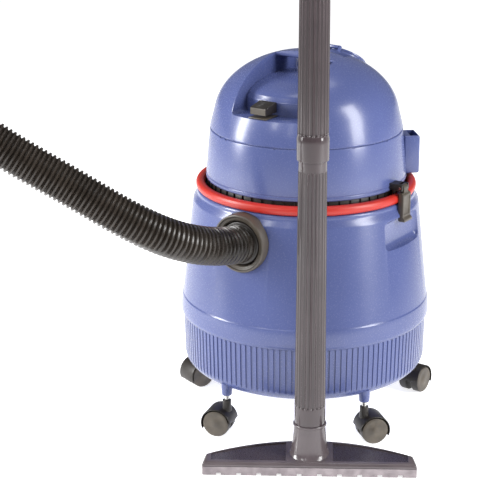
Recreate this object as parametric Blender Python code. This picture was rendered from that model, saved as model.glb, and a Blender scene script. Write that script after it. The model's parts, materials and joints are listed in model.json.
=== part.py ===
"""Drum vacuum cleaner for wet and dry pick-up, on five castors, with its hose, wand and nozzle.

Metres, +Z up. The origin is the centre of the tank's flat underside, and the hose inlet faces -Y.
Each object is one separate piece. Pieces that move together sit under an empty on their joint.
"""

import math

import bmesh
import bpy
import numpy as np
from mathutils import Matrix, Vector

# Gaps. Touching pieces keep GAP, and pieces that turn or slide in each other keep RUNNING.
GAP = 0.0003
RUNNING = 0.0005
OVERSHOOT = 0.02
# Sides of the large round pieces.
ROUND = 48

# Tank.
TANK_RADIUS = 0.185
TANK_HEIGHT = 0.2745
TANK_WALL = 0.003
STEP_HEIGHT = 0.0835
STEP_BAND = 0.0305
SKIRT_SET_IN = 0.0038
SHOULDER_RADIUS = 0.166
SHOULDER_DROP = 0.016
MOUTH_RADIUS = 0.156
SEAT_WIDTH = 0.0125
FLOOR_DROP = 0.068
RING_TUBE = 0.00675

# Hose inlet, in the tank's front.
INLET_HEIGHT = 0.2314
INLET_RADIUS = 0.042
INLET_BORE = 0.0325
INLET_INNER = 0.150
INLET_FACE = 0.1775

# Finger scoops below the latches.
SCOOP_DEPTH = 0.0115
SCOOP_LOW = 0.214
SCOOP_HIGH = 0.257
SCOOP_HALF = 0.060

# Motor head.
HEAD_RADIUS = 0.1468
SEAM_RADIUS = 0.1405
SHELL_WALL = 0.003
BASE_LIFT = 0.0013
BASE_HEIGHT = 0.0159
HOUSING_HEIGHT = 0.073
BAND_HEIGHT = 0.0367
DOME_RADIUS = 0.1345
DOME_RISE = 0.0935
DOME_SINK = 0.0190

# Grip well in the cover, and the strap over it that carries the machine.
WELL_HALF = 0.047
WELL_BACK = 0.048
WELL_SINK = 0.0015
STRAP_FRONT = -0.0115
STRAP_BACK = 0.0225
STRAP_UNDER = 0.0110
BULGE_RADIUS = 0.098
BULGE_LIP = 0.021
BULGE_RISE = 0.0235

# Latches at +X and -X.
LATCH_WIDTH = 0.022
LATCH_THICK = 0.0073
LATCH_BOTTOM = 0.250
LATCH_PIN_RADIUS = 0.0020
LATCH_PIN_HEIGHT = 0.2985

# Castors.
CASTOR_COUNT = 5
CASTOR_CIRCLE = 0.170
CASTOR_PHASE = math.radians(-9.0)
CASTOR_TRAIL = 0.012
WHEEL_RADIUS = 0.020
WHEEL_INNER = 0.0045
WHEEL_OUTER = 0.0175
STEM_RADIUS = 0.0038
SOCKET_RADIUS = 0.0105
SOCKET_DROP = 0.006
SOCKET_BORE_TOP = 0.0085
# Way that each castor trails, counter-clockwise from +X, at rest.
TRAILS = tuple(math.radians(a) for a in (194.6, 49.4, 88.0, 170.0, 250.0))

# Wand, which stands before the tank and turned towards its right.
WAND_TURN = math.radians(32.0)
WAND_SIDE = 0.009
WAND_DISTANCE = 0.235
TUBE_BORE = 0.0165
LOWER_BOTTOM_RADIUS = 0.0217
LOWER_TOP_RADIUS = 0.0193
LOWER_LENGTH = 0.395
SPIGOT = 0.025
COLLAR_RADIUS = 0.0222
COLLAR_LENGTH = 0.032
UPPER_BOTTOM_RADIUS = 0.0210
UPPER_TOP_RADIUS = 0.0195
UPPER_LENGTH = 0.390
GRIP_RADIUS = 0.0192
GRIP_BEND = math.radians(60.0)
GRIP_BEND_RADIUS = 0.070
GRIP_STRAIGHT = 0.100
GRIP_RISE = 0.083
CUFF_LENGTH = 0.060
CUFF_RADIUS = 0.025

# Floor nozzle.
NOZZLE_HALF = 0.149
NOZZLE_FRONT = -0.034
NOZZLE_BACK = 0.033
NOZZLE_SIDE = -0.009
NOZZLE_RIM = 0.0165
NOZZLE_TOP = 0.027
NECK_RADIUS = 0.0218
NOTCH_COUNT = 10
NOTCH_PITCH = 0.028
SLOT_HALF = 0.140
SLOT_FRONT = -0.029
SLOT_BACK = -0.013
SLOT_HIGH = 0.0095

# Hose: outer diameter and the points that its middle passes, from the tank to the hand grip.
HOSE_DIAMETER = 0.054
HOSE_WALL = 0.0025
HOSE_SIDES = 16
HOSE_ROUTE = (
    (0.0, -0.1795, 0.2314), (-0.0013, -0.1913, 0.233), (-0.0147, -0.2472, 0.2457),
    (-0.0409, -0.2954, 0.2672), (-0.0776, -0.3317, 0.2956), (-0.1366, -0.3736, 0.3403),
    (-0.1955, -0.4155, 0.385), (-0.2849, -0.4781, 0.4722), (-0.3457, -0.5191, 0.5713),
    (-0.3796, -0.5402, 0.6754), (-0.3885, -0.5432, 0.7776), (-0.374, -0.5301, 0.8712),
    (-0.3381, -0.5027, 0.9494), (-0.2825, -0.4628, 1.0053), (-0.209, -0.4122, 1.0322),
    (-0.1194, -0.3529, 1.0232), (-0.0154, -0.2867, 0.9716),
)

# Sizes that follow from the ones above.
FLOOR = -FLOOR_DROP
SKIRT_RADIUS = TANK_RADIUS - SKIRT_SET_IN
STEP_TOP = STEP_HEIGHT + STEP_BAND
SHOULDER_HEIGHT = TANK_HEIGHT - SHOULDER_DROP
SEAT_TOP = TANK_HEIGHT - 0.0033
BASE_BOTTOM = TANK_HEIGHT + BASE_LIFT
BASE_TOP = BASE_BOTTOM + BASE_HEIGHT
BASE_RADIUS = HEAD_RADIUS - 0.0013
HOUSING_BOTTOM = BASE_TOP + GAP
HOUSING_TOP = HOUSING_BOTTOM + HOUSING_HEIGHT
COVER_BOTTOM = HOUSING_TOP + GAP
CREASE_HEIGHT = COVER_BOTTOM + BAND_HEIGHT
DOME_CENTRE = CREASE_HEIGHT - DOME_SINK
DOME_TOP = DOME_CENTRE + DOME_RISE
LEDGE_HEIGHT = CREASE_HEIGHT - WELL_SINK
RING_RADIUS = MOUTH_RADIUS - 0.0012
RING_HEIGHT = TANK_HEIGHT + GAP + RING_TUBE
RING_OUTSIDE = RING_RADIUS + RING_TUBE
LATCH_FACE = RING_OUTSIDE + 0.00065
LATCH_PIN_FACE = LATCH_FACE + 0.001
AXLE_HEIGHT = FLOOR + WHEEL_RADIUS

BLUE = ((0.155, 0.205, 0.520), 0.32, 0.0)
RED = ((0.800, 0.055, 0.030), 0.35, 0.0)
BLACK = ((0.030, 0.028, 0.027), 0.45, 0.0)
WAND_GREY = ((0.085, 0.075, 0.078), 0.38, 0.0)
RUBBER = ((0.022, 0.020, 0.020), 0.80, 0.0)
STEEL = ((0.620, 0.610, 0.600), 0.25, 1.0)
MOTOR_METAL = ((0.450, 0.450, 0.460), 0.40, 1.0)
PAPER = ((0.850, 0.830, 0.780), 0.90, 0.0)
WHITE = ((0.800, 0.800, 0.780), 0.40, 0.0)
BRISTLE = ((0.180, 0.170, 0.165), 0.85, 0.0)


def paint(piece, name, look):
    """Gives a piece its own material."""
    colour, roughness, metallic = look
    material = bpy.data.materials.new(name + "_finish")
    material.use_nodes = True
    shader = material.node_tree.nodes["Principled BSDF"]
    shader.inputs["Base Color"].default_value = (*colour, 1.0)
    shader.inputs["Roughness"].default_value = roughness
    shader.inputs["Metallic"].default_value = metallic
    piece.data.materials.append(material)


def piece_of(shape, name, look=None, under=None, smooth=40.0):
    """Makes an object of a bmesh; with no look it is a cutting tool, which isn't part of the object."""
    mesh = bpy.data.meshes.new(name)
    bmesh.ops.recalc_face_normals(shape, faces=shape.faces)
    shape.to_mesh(mesh)
    shape.free()
    mesh.shade_smooth()
    mesh.set_sharp_from_angle(angle=math.radians(smooth))
    piece = bpy.data.objects.new(name, mesh)
    bpy.context.scene.collection.objects.link(piece)
    piece.parent = under
    if look:
        paint(piece, name, look)
    else:
        piece.hide_render = True
        piece.display_type = "WIRE"
    return piece


def joint_empty(name, spot, turn=0.0, under=None):
    """An empty on a joint's axis, turned about Z."""
    empty = bpy.data.objects.new(name, None)
    bpy.context.scene.collection.objects.link(empty)
    empty.location = spot
    empty.rotation_euler = (0.0, 0.0, turn)
    empty.parent = under
    return empty


def change(piece, tool, operation="DIFFERENCE"):
    """Cuts a tool out of a piece, or joins the tool to it."""
    step = piece.modifiers.new(operation.lower() + "_" + tool.name, "BOOLEAN")
    step.operation = operation
    step.object = tool


def turned_shape(outline, steps):
    """Turns an outline of (radius, height) points about Z. It is open only where both ends are on the axis."""
    shape = bmesh.new()
    corners = [shape.verts.new((radius, 0.0, height)) for radius, height in outline]
    pairs = list(zip(corners, corners[1:]))
    if outline[0][0] > 0.0:
        pairs.append((corners[-1], corners[0]))
    edges = [shape.edges.new(pair) for pair in pairs]
    bmesh.ops.spin(
        shape, geom=corners + edges, cent=(0, 0, 0), axis=(0, 0, 1), dvec=(0, 0, 0),
        angle=math.tau, steps=steps, use_merge=True,
    )
    bmesh.ops.remove_doubles(shape, verts=shape.verts, dist=1e-7)
    return shape


def turned(name, outline, steps, look=None, under=None, aim=None, spot=(0, 0, 0)):
    """A turned piece, with its axis along aim."""
    piece = piece_of(turned_shape(outline, steps), name, look, under)
    piece.location = spot
    if aim:
        piece.rotation_euler = Vector((0, 0, 1)).rotation_difference(Vector(aim)).to_euler()
    return piece


def add_box(shape, low, high):
    """Adds a box between two corners to a bmesh, and returns its corners."""
    centre = (Vector(low) + Vector(high)) / 2
    size = Vector(high) - Vector(low)
    matrix = Matrix.Translation(centre) @ Matrix.Diagonal((*size, 1.0))
    return bmesh.ops.create_cube(shape, size=1.0, matrix=matrix)["verts"]


def box(name, low, high, look=None, under=None, rounding=0.0):
    """A box with rounded edges."""
    shape = bmesh.new()
    add_box(shape, low, high)
    if rounding:
        bmesh.ops.bevel(
            shape, geom=list(shape.edges), offset=rounding, segments=2, profile=0.5,
            affect="EDGES",
        )
    return piece_of(shape, name, look, under)


def add_rod(shape, radius, low, high, steps=16):
    """Adds a cylinder between two points to a bmesh."""
    low, high = Vector(low), Vector(high)
    turn = Vector((0, 0, 1)).rotation_difference(high - low).to_matrix().to_4x4()
    bmesh.ops.create_cone(
        shape, cap_ends=True, segments=steps, radius1=radius, radius2=radius,
        depth=(high - low).length, matrix=Matrix.Translation((low + high) / 2) @ turn,
    )


def rod(name, radius, low, high, look=None, under=None, steps=16):
    """A cylinder between two points."""
    shape = bmesh.new()
    add_rod(shape, radius, low, high, steps)
    return piece_of(shape, name, look, under)


def around(angle, radius, height):
    """A point at an angle from the front, -Y, counted towards +X."""
    return Vector((radius * math.sin(angle), -radius * math.cos(angle), height))


# ---------------------------------------------------------------- tank


def tank_outline():
    """Outer outline of the tank, from the middle of its underside up to its mouth."""
    return [
        (0.0, 0.0),
        (SKIRT_RADIUS - 0.031, 0.0),
        (SKIRT_RADIUS - 0.015, 0.0035),
        (SKIRT_RADIUS - 0.0065, 0.0105),
        (SKIRT_RADIUS - 0.0015, 0.022),
        (SKIRT_RADIUS, STEP_HEIGHT),
        (TANK_RADIUS, STEP_HEIGHT + 0.0055),
        (TANK_RADIUS, STEP_HEIGHT + 0.0135),
        (TANK_RADIUS - 0.0022, STEP_TOP),
        (SHOULDER_RADIUS, SHOULDER_HEIGHT),
        (MOUTH_RADIUS + 0.0045, TANK_HEIGHT - 0.0045),
        (MOUTH_RADIUS, TANK_HEIGHT),
        (0.0, TANK_HEIGHT),
    ]


def tank_hollow_outline():
    """Outline of the space inside the tank, with the inward seat for the head's gasket at its mouth."""
    seat_radius = MOUTH_RADIUS - TANK_WALL - SEAT_WIDTH
    seat_under = SEAT_TOP - TANK_WALL
    lower = [
        (0.0, TANK_WALL),
        (SKIRT_RADIUS - 0.031, TANK_WALL),
        (SKIRT_RADIUS - 0.0165, 0.006),
        (SKIRT_RADIUS - 0.0095, 0.012),
        (SKIRT_RADIUS - 0.0047, 0.022),
        (SKIRT_RADIUS - TANK_WALL, STEP_HEIGHT + 0.002),
        (TANK_RADIUS - TANK_WALL, STEP_HEIGHT + 0.0075),
        (TANK_RADIUS - TANK_WALL - 0.0022, STEP_TOP),
        (SHOULDER_RADIUS - TANK_WALL, SHOULDER_HEIGHT),
        (seat_radius, seat_under),
        (seat_radius, SEAT_TOP),
        (MOUTH_RADIUS - TANK_WALL - 0.003, SEAT_TOP),
    ]
    above = TANK_HEIGHT + OVERSHOOT
    return lower + [(MOUTH_RADIUS - TANK_WALL - 0.003, above), (0.0, above)]


def castor_angle(index):
    return CASTOR_PHASE + index * math.tau / CASTOR_COUNT


def tank_wall_radius(height):
    """Outer radius of the tank's tapering wall at a height between the step and the shoulder."""
    share = (height - STEP_TOP) / (SHOULDER_HEIGHT - STEP_TOP)
    return TANK_RADIUS - 0.0022 + share * (SHOULDER_RADIUS - TANK_RADIUS + 0.0022)


def make_tank():
    tank = turned("tank_shell", tank_outline(), ROUND, BLUE)
    hollow = turned("tank_hollow", tank_hollow_outline(), ROUND)
    sockets, bores = bmesh.new(), bmesh.new()
    for index in range(CASTOR_COUNT):
        angle = castor_angle(index)
        add_rod(
            sockets, SOCKET_RADIUS, around(angle, CASTOR_CIRCLE, -SOCKET_DROP),
            around(angle, CASTOR_CIRCLE, SOCKET_BORE_TOP + 0.0045), 20,
        )
        add_rod(
            bores, STEM_RADIUS + RUNNING, around(angle, CASTOR_CIRCLE, -SOCKET_DROP - 0.001),
            around(angle, CASTOR_CIRCLE, SOCKET_BORE_TOP), 16,
        )
    sockets = piece_of(sockets, "castor_sockets")
    bores = piece_of(bores, "castor_bores")
    scoop_face = tank_wall_radius((SCOOP_LOW + SCOOP_HIGH) / 2) - SCOOP_DEPTH
    scoops, pads = bmesh.new(), bmesh.new()
    for side in (1, -1):
        near, far = sorted((side * scoop_face, side * (TANK_RADIUS + OVERSHOOT)))
        add_box(scoops, (near, -SCOOP_HALF, SCOOP_LOW), (far, SCOOP_HALF, SCOOP_HIGH))
        pad_near, pad_far = sorted(
            (side * (scoop_face - TANK_WALL), side * (TANK_RADIUS + OVERSHOOT))
        )
        add_box(
            pads, (pad_near, -SCOOP_HALF - TANK_WALL, SCOOP_LOW - TANK_WALL),
            (pad_far, SCOOP_HALF + TANK_WALL, SCOOP_HIGH + TANK_WALL),
        )
    scoops = piece_of(scoops, "scoop_tool")
    pads = piece_of(pads, "scoop_backing")
    slots, slot_backs = bmesh.new(), bmesh.new()
    for side in (1, -1):
        half = LATCH_WIDTH / 2 + 0.001
        near, far = sorted((side * (LATCH_FACE - RUNNING), side * (TANK_RADIUS + OVERSHOOT)))
        add_box(slots, (near, -half, SCOOP_HIGH - 0.005), (far, half, TANK_HEIGHT + 0.01))
        near, far = sorted(
            (side * (LATCH_FACE - RUNNING - TANK_WALL), side * (TANK_RADIUS + OVERSHOOT))
        )
        half += TANK_WALL
        add_box(slot_backs, (near, -half, SCOOP_HIGH - 0.001), (far, half, TANK_HEIGHT + 0.01))
    slots = piece_of(slots, "latch_slots")
    slot_backs = piece_of(slot_backs, "latch_slot_backing")
    inlet_hole = turned(
        "inlet_hole",
        [(0.0, INLET_INNER - OVERSHOOT), (INLET_RADIUS + GAP, INLET_INNER - OVERSHOOT),
         (INLET_RADIUS + GAP, TANK_RADIUS + OVERSHOOT), (0.0, TANK_RADIUS + OVERSHOOT)],
        32, aim=(0, -1, 0), spot=(0, 0, INLET_HEIGHT),
    )
    change(hollow, sockets)
    change(hollow, pads)
    change(hollow, slot_backs)
    change(tank, sockets, "UNION")
    change(tank, hollow)
    change(tank, scoops)
    change(tank, slots)
    change(tank, bores)
    change(tank, inlet_hole)

    ring = [
        (RING_RADIUS + RING_TUBE * math.cos(a), RING_HEIGHT + RING_TUBE * math.sin(a))
        for a in (math.tau * (k + 0.5) / 10 for k in range(10))
    ]
    turned("rim_ring", ring, ROUND, RED)


def make_inlet():
    spot = (0, 0, INLET_HEIGHT)
    turned(
        "inlet_port",
        [(INLET_BORE, INLET_INNER), (INLET_RADIUS, INLET_INNER),
         (INLET_RADIUS, INLET_FACE - 0.002), (INLET_RADIUS - 0.0015, INLET_FACE),
         (INLET_BORE + 0.002, INLET_FACE), (INLET_BORE, INLET_FACE - 0.002)],
        32, BLACK, aim=(0, -1, 0), spot=spot,
    )
    cuff_radius = INLET_BORE - RUNNING
    turned(
        "inlet_cuff",
        [(0.0215, INLET_INNER + 0.002), (cuff_radius, INLET_INNER + 0.002),
         (cuff_radius, INLET_FACE - 0.0075), (cuff_radius - 0.002, INLET_FACE - 0.004),
         (0.0215, INLET_FACE - 0.004)],
        32, BLACK, aim=(0, -1, 0), spot=spot,
    )
    depth, radius, wall = 0.035, INLET_RADIUS - 0.004, 0.003
    outer_end = INLET_INNER - GAP
    cup = turned(
        "inlet_deflector",
        [(0.0, outer_end - depth), (radius, outer_end - depth), (radius, outer_end),
         (radius - wall, outer_end), (radius - wall, outer_end - depth + wall),
         (0.0, outer_end - depth + wall)],
        24, BLACK, aim=(0, -1, 0), spot=spot,
    )
    mouth = box(
        "deflector_mouth", (-0.022, -outer_end + wall, INLET_HEIGHT - radius - 0.01),
        (0.022, -outer_end + depth - wall, INLET_HEIGHT - 0.012),
    )
    change(cup, mouth)


# ---------------------------------------------------------------- castors


def make_castor(index):
    """Castor in its own frame: +X is the way it trails, and Y is the axle's way."""
    spot = around(castor_angle(index), CASTOR_CIRCLE, 0.0)
    swivel = joint_empty(f"castor_swivel_{index + 1}", spot, TRAILS[index])
    number = str(index + 1)
    axle = Vector((CASTOR_TRAIL, 0, AXLE_HEIGHT))
    side = Vector((0, 1, 0))
    hood_radius = WHEEL_RADIUS + 0.0028
    neck_top = -0.0135
    hood = rod(
        "castor_housing_" + number, hood_radius, axle - side * 0.018, axle + side * 0.018,
        BLACK, swivel, 20,
    )
    neck = rod("castor_neck_" + number, 0.0065, (0, 0, neck_top), (0, 0, -0.031), under=swivel)
    wells = bmesh.new()
    for way in (1, -1):
        add_rod(
            wells, WHEEL_RADIUS + 0.0012, axle + side * way * (WHEEL_INNER - 0.0003),
            axle + side * way * 0.0195, 20,
        )
    wells = piece_of(wells, "castor_wells_" + number, under=swivel)
    bearing = rod(
        "castor_bearing_" + number, 0.0030 + RUNNING, axle - side * 0.02, axle + side * 0.02,
        under=swivel, steps=20,
    )
    below = box(
        "castor_below_" + number, (-0.03, -0.03, FLOOR - 0.01),
        (0.06, 0.03, AXLE_HEIGHT - 0.008), under=swivel,
    )
    change(hood, neck, "UNION")
    change(hood, wells)
    change(hood, bearing)
    change(hood, below)
    rod(
        "castor_stem_" + number, STEM_RADIUS, (0, 0, neck_top + GAP),
        (0, 0, SOCKET_BORE_TOP - RUNNING), STEEL, swivel, 14,
    )
    turned(
        "castor_wheels_" + number,
        [(0.0, -WHEEL_OUTER), (0.0155, -WHEEL_OUTER), (WHEEL_RADIUS, -WHEEL_OUTER + 0.002),
         (WHEEL_RADIUS, -WHEEL_INNER), (0.0030, -WHEEL_INNER), (0.0030, WHEEL_INNER),
         (WHEEL_RADIUS, WHEEL_INNER), (WHEEL_RADIUS, WHEEL_OUTER - 0.002),
         (0.0155, WHEEL_OUTER), (0.0, WHEEL_OUTER)],
        20, RUBBER, swivel, (0, 1, 0), axle,
    )


# ---------------------------------------------------------------- motor head


def dome_radius(height):
    """Outer radius of the cover's dome at a height."""
    return DOME_RADIUS * math.sqrt(max(0.0, 1 - ((height - DOME_CENTRE) / DOME_RISE) ** 2))


def dome_outline(inset, bottom, steps=10):
    """Outline of the cover, or of the hollow inside it, up to the top of the dome."""
    crease = dome_radius(CREASE_HEIGHT)
    points = [(0.0, bottom), (SEAM_RADIUS - inset, bottom)]
    start = math.asin(DOME_SINK / DOME_RISE)
    for k in range(steps):
        angle = start + (math.pi / 2 - start) * k / steps
        points.append(
            ((DOME_RADIUS - inset) * math.cos(angle),
             DOME_CENTRE + (DOME_RISE - inset) * math.sin(angle))
        )
    if not inset:
        points[2] = (crease, CREASE_HEIGHT)
    return points + [(0.0, DOME_TOP - inset)]


def bulge_outline(inset, bottom, steps=5):
    """Outline of the raised motor dome inside the grip well."""
    lip = LEDGE_HEIGHT + BULGE_LIP - inset
    radius = BULGE_RADIUS - inset
    points = [(0.0, bottom), (radius, bottom), (radius, lip - 0.004)]
    for k in range(steps):
        angle = math.radians(8) + math.radians(82) * k / steps
        points.append((radius * math.cos(angle) - 0.001, lip + BULGE_RISE * math.sin(angle)))
    return points + [(0.0, lip + BULGE_RISE)]


def blower_frame():
    """Matrix of the blower outlet on the dome: Z is the outward normal, X points down the slope."""
    angle, radius = math.radians(176.0), 0.094
    height = DOME_CENTRE + DOME_RISE * math.sqrt(1 - (radius / DOME_RADIUS) ** 2)
    normal = around(
        angle, radius / DOME_RADIUS**2, (height - DOME_CENTRE) / DOME_RISE**2
    ).normalized()
    level = Vector((0, 0, 1)).cross(normal).normalized()
    down = level.cross(normal).normalized()
    frame = Matrix((down, level, normal)).transposed()
    if frame.determinant() < 0:
        frame = Matrix((down, -level, normal)).transposed()
    return Matrix.Translation(around(angle, radius, height)) @ frame.to_4x4()


def make_cover():
    cover = turned("head_cover", dome_outline(0.0, COVER_BOTTOM), ROUND, BLUE)
    hollow = turned("cover_hollow", dome_outline(SHELL_WALL, COVER_BOTTOM - 0.001), ROUND)
    high = DOME_TOP + OVERSHOOT
    front = -DOME_RADIUS - OVERSHOOT
    backing = box(
        "well_backing", (-WELL_HALF - SHELL_WALL, front, LEDGE_HEIGHT - SHELL_WALL),
        (WELL_HALF + SHELL_WALL, WELL_BACK + SHELL_WALL, high),
    )
    change(hollow, backing)
    bulge_hollow = turned(
        "bulge_hollow", bulge_outline(SHELL_WALL, COVER_BOTTOM - 0.001), 36
    )
    well = box(
        "grip_well", (-WELL_HALF, front, LEDGE_HEIGHT), (WELL_HALF, WELL_BACK, high)
    )
    bulge = turned("motor_bulge", bulge_outline(0.0, LEDGE_HEIGHT - 0.01), 36)
    strap = box(
        "carrying_strap", (-WELL_HALF - 0.01, STRAP_FRONT, DOME_TOP - STRAP_UNDER),
        (WELL_HALF + 0.01, STRAP_BACK, high + 0.01),
    )
    change(well, bulge)
    change(well, strap)
    change(cover, hollow)
    change(cover, bulge_hollow)
    change(cover, well)

    outlet = blower_frame()
    boss = bmesh.new()
    add_rod(boss, 0.033, (0, 0, -0.014), (0, 0, -0.0005), 32)
    boss = piece_of(boss, "blower_boss")
    boss.matrix_world = outlet
    bore = rod("blower_bore", 0.0245, (0, 0, -0.05), (0, 0, 0.02), steps=32)
    bore.matrix_world = outlet
    change(cover, boss, "UNION")
    ears = bmesh.new()
    for way in (1, -1):
        side = way * 0.0110
        add_box(ears, (-0.0375, side - 0.0015, -0.0140), (-0.0320, side + 0.0015, 0.0045))
    ears = piece_of(ears, "blower_ears")
    ears.matrix_world = outlet
    change(cover, ears, "UNION")
    change(cover, bore)
    pin_hole = rod(
        "blower_pin_hole", 0.0014, (-0.035, -0.02, 0.0023), (-0.035, 0.02, 0.0023), steps=10
    )
    pin_hole.matrix_world = outlet
    change(cover, pin_hole)
    cover.modifiers.new("weld", "WELD").merge_threshold = 0.00001

    hinge = joint_empty("blower_cap_hinge", (0, 0, 0))
    hinge.matrix_world = outlet @ Matrix.Translation((-0.035, 0, 0.0023))
    cap = turned(
        "blower_cap",
        [(0.0, -0.0025), (0.0325, -0.0025), (0.0330, -0.0010), (0.0318, 0.0012),
         (0.0180, 0.0022), (0.0, 0.0026)],
        32, BLUE, hinge, spot=(0.035, 0, 0),
    )
    tab = box("cap_tab", (0.0650, -0.008, -0.0022), (0.0725, 0.008, 0.0008), under=hinge)
    knuckle = rod("cap_knuckle", 0.0026, (0, -0.0092, 0), (0, 0.0092, 0), under=hinge, steps=14)
    bridge = box("cap_bridge", (0, -0.0090, -0.0022), (0.006, 0.0090, 0.0010), under=hinge)
    cap_hole = rod("cap_pin_hole", 0.0014, (0, -0.02, 0), (0, 0.02, 0), under=hinge, steps=10)
    for joined in (tab, knuckle, bridge):
        change(cap, joined, "UNION")
    change(cap, cap_hole)
    rod(
        "blower_cap_pin", 0.0010, (0, -0.0123, 0), (0, 0.0123, 0), STEEL, hinge, 10
    )


def housing_radius(height):
    """Outer radius of the head housing at a height."""
    share = (height - HOUSING_BOTTOM) / HOUSING_HEIGHT
    return HEAD_RADIUS + share * (SEAM_RADIUS - HEAD_RADIUS)


def make_housing():
    housing = turned(
        "head_housing",
        [(HEAD_RADIUS - SHELL_WALL, HOUSING_BOTTOM), (HEAD_RADIUS, HOUSING_BOTTOM),
         (SEAM_RADIUS, HOUSING_TOP), (SEAM_RADIUS - SHELL_WALL, HOUSING_TOP)],
        ROUND, BLUE,
    )
    cord_height = HOUSING_BOTTOM + 0.023
    hole = rod("cord_hole", 0.0083, (0, 0.12, cord_height), (0, 0.16, cord_height))
    change(housing, hole)
    wall = housing_radius(cord_height)
    turned(
        "cord_grommet",
        [(0.0042, wall - 0.010), (0.0080, wall - 0.010), (0.0080, wall + 0.0015),
         (0.0115, wall + 0.0015), (0.0115, wall + 0.005), (0.0080, wall + 0.0055),
         (0.0062, wall + 0.018), (0.0042, wall + 0.018)],
        16, BLACK, aim=(0, 1, 0), spot=(0, 0, cord_height),
    )
    clearance = turned(
        "housing_clearance",
        [(0.0, HOUSING_BOTTOM - 0.02), (HEAD_RADIUS + GAP, HOUSING_BOTTOM - 0.02),
         (HEAD_RADIUS + GAP, HOUSING_BOTTOM), (SEAM_RADIUS + GAP, HOUSING_TOP),
         (0.0, HOUSING_TOP)],
        ROUND,
    )
    return clearance


def make_holder(name, angle, clearance):
    """Box-shaped holder for tools on the housing's flank."""
    frame = joint_empty(name + "_place", (0, 0, 0), angle)
    low, high = HOUSING_BOTTOM + 0.0005, HOUSING_BOTTOM + 0.057
    holder = box(
        name, (-0.020, -HEAD_RADIUS - 0.019, low), (0.020, -SEAM_RADIUS + 0.012, high),
        BLUE, frame, 0.002,
    )
    pocket = box(
        name + "_pocket", (-0.016, -HEAD_RADIUS - 0.0155, low + 0.006),
        (0.016, -HEAD_RADIUS - 0.0060, high + 0.01), under=frame,
    )
    change(holder, clearance)
    change(holder, pocket)


def make_base():
    base = turned(
        "head_base",
        [(0.0155, BASE_BOTTOM), (BASE_RADIUS, BASE_BOTTOM), (BASE_RADIUS, BASE_TOP),
         (BASE_RADIUS - 0.003, BASE_TOP), (BASE_RADIUS - 0.003, BASE_BOTTOM + 0.0027),
         (0.0155, BASE_BOTTOM + 0.0027)],
        ROUND, BLACK,
    )
    inner = MOUTH_RADIUS - TANK_WALL - SEAT_WIDTH + 0.0006
    turned(
        "head_gasket",
        [(inner, SEAT_TOP + GAP), (BASE_RADIUS + 0.002, SEAT_TOP + GAP),
         (BASE_RADIUS + 0.002, BASE_BOTTOM - GAP), (inner, BASE_BOTTOM - GAP)],
        48, RUBBER,
    )
    return base


def make_motor(base):
    seal_bottom = BASE_BOTTOM + 0.0030
    seal_top = seal_bottom + 0.0027
    case_bottom, case_top = seal_top + GAP, seal_top + GAP + 0.0262
    case_wall = 0.0025
    seal = turned(
        "motor_seal",
        [(0.056, seal_bottom), (0.068, seal_bottom), (0.068, seal_top), (0.056, seal_top)],
        32, RUBBER,
    )
    case = turned(
        "turbine_housing",
        [(0.020, case_bottom), (0.070, case_bottom), (0.070, case_top), (0.012, case_top),
         (0.012, case_top - case_wall), (0.070 - case_wall, case_top - case_wall),
         (0.070 - case_wall, case_bottom + case_wall), (0.020, case_bottom + case_wall)],
        24, MOTOR_METAL,
    )
    holes = bmesh.new()
    for index in range(3):
        spot = around(index * math.tau / 3, 0.062, 0.0)
        add_rod(
            holes, 0.0022, spot + Vector((0, 0, BASE_BOTTOM - 0.01)),
            spot + Vector((0, 0, case_bottom + 0.005)), 10,
        )
        screw = turned(
            f"motor_screw_{index + 1}",
            [(0.0, -0.0024), (0.0036, -0.0020), (0.0036, -GAP), (0.0018, -GAP),
             (0.0018, 0.0105), (0.0, 0.0105)],
            12, STEEL, spot=spot + Vector((0, 0, BASE_BOTTOM)),
        )
        screw.data.shade_smooth()
    holes = piece_of(holes, "screw_holes")
    for pierced in (base, seal, case):
        change(pierced, holes)
    motor_bottom = case_top + GAP
    motor_top = motor_bottom + 0.080
    turned(
        "motor_body",
        [(0.0050, motor_bottom), (0.048, motor_bottom), (0.048, motor_top - 0.008),
         (0.040, motor_top), (0.0050, motor_top)],
        24, MOTOR_METAL,
    )
    rotor = joint_empty("rotor_axis", (0, 0, motor_bottom))
    rise = -motor_bottom
    rod(
        "motor_shaft", 0.0040, (0, 0, case_bottom + 0.001 + rise),
        (0, 0, motor_top + 0.016 + rise), STEEL, rotor, 12,
    )
    wheel = case_bottom + case_wall + 0.0012 + rise
    turned(
        "turbine_wheel",
        [(0.0043, wheel), (0.0100, wheel), (0.0100, wheel + 0.0015), (0.0620, wheel + 0.0015),
         (0.0620, wheel + 0.0045), (0.0100, wheel + 0.0090), (0.0100, wheel + 0.0150),
         (0.0043, wheel + 0.0150)],
        24, MOTOR_METAL, rotor,
    )
    fan = motor_top + 0.0035 + rise
    turned(
        "cooling_fan",
        [(0.0043, fan), (0.0440, fan), (0.0440, fan + 0.002), (0.0095, fan + 0.003),
         (0.0095, fan + 0.0095), (0.0043, fan + 0.0095)],
        24, WHITE, rotor,
    )


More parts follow.
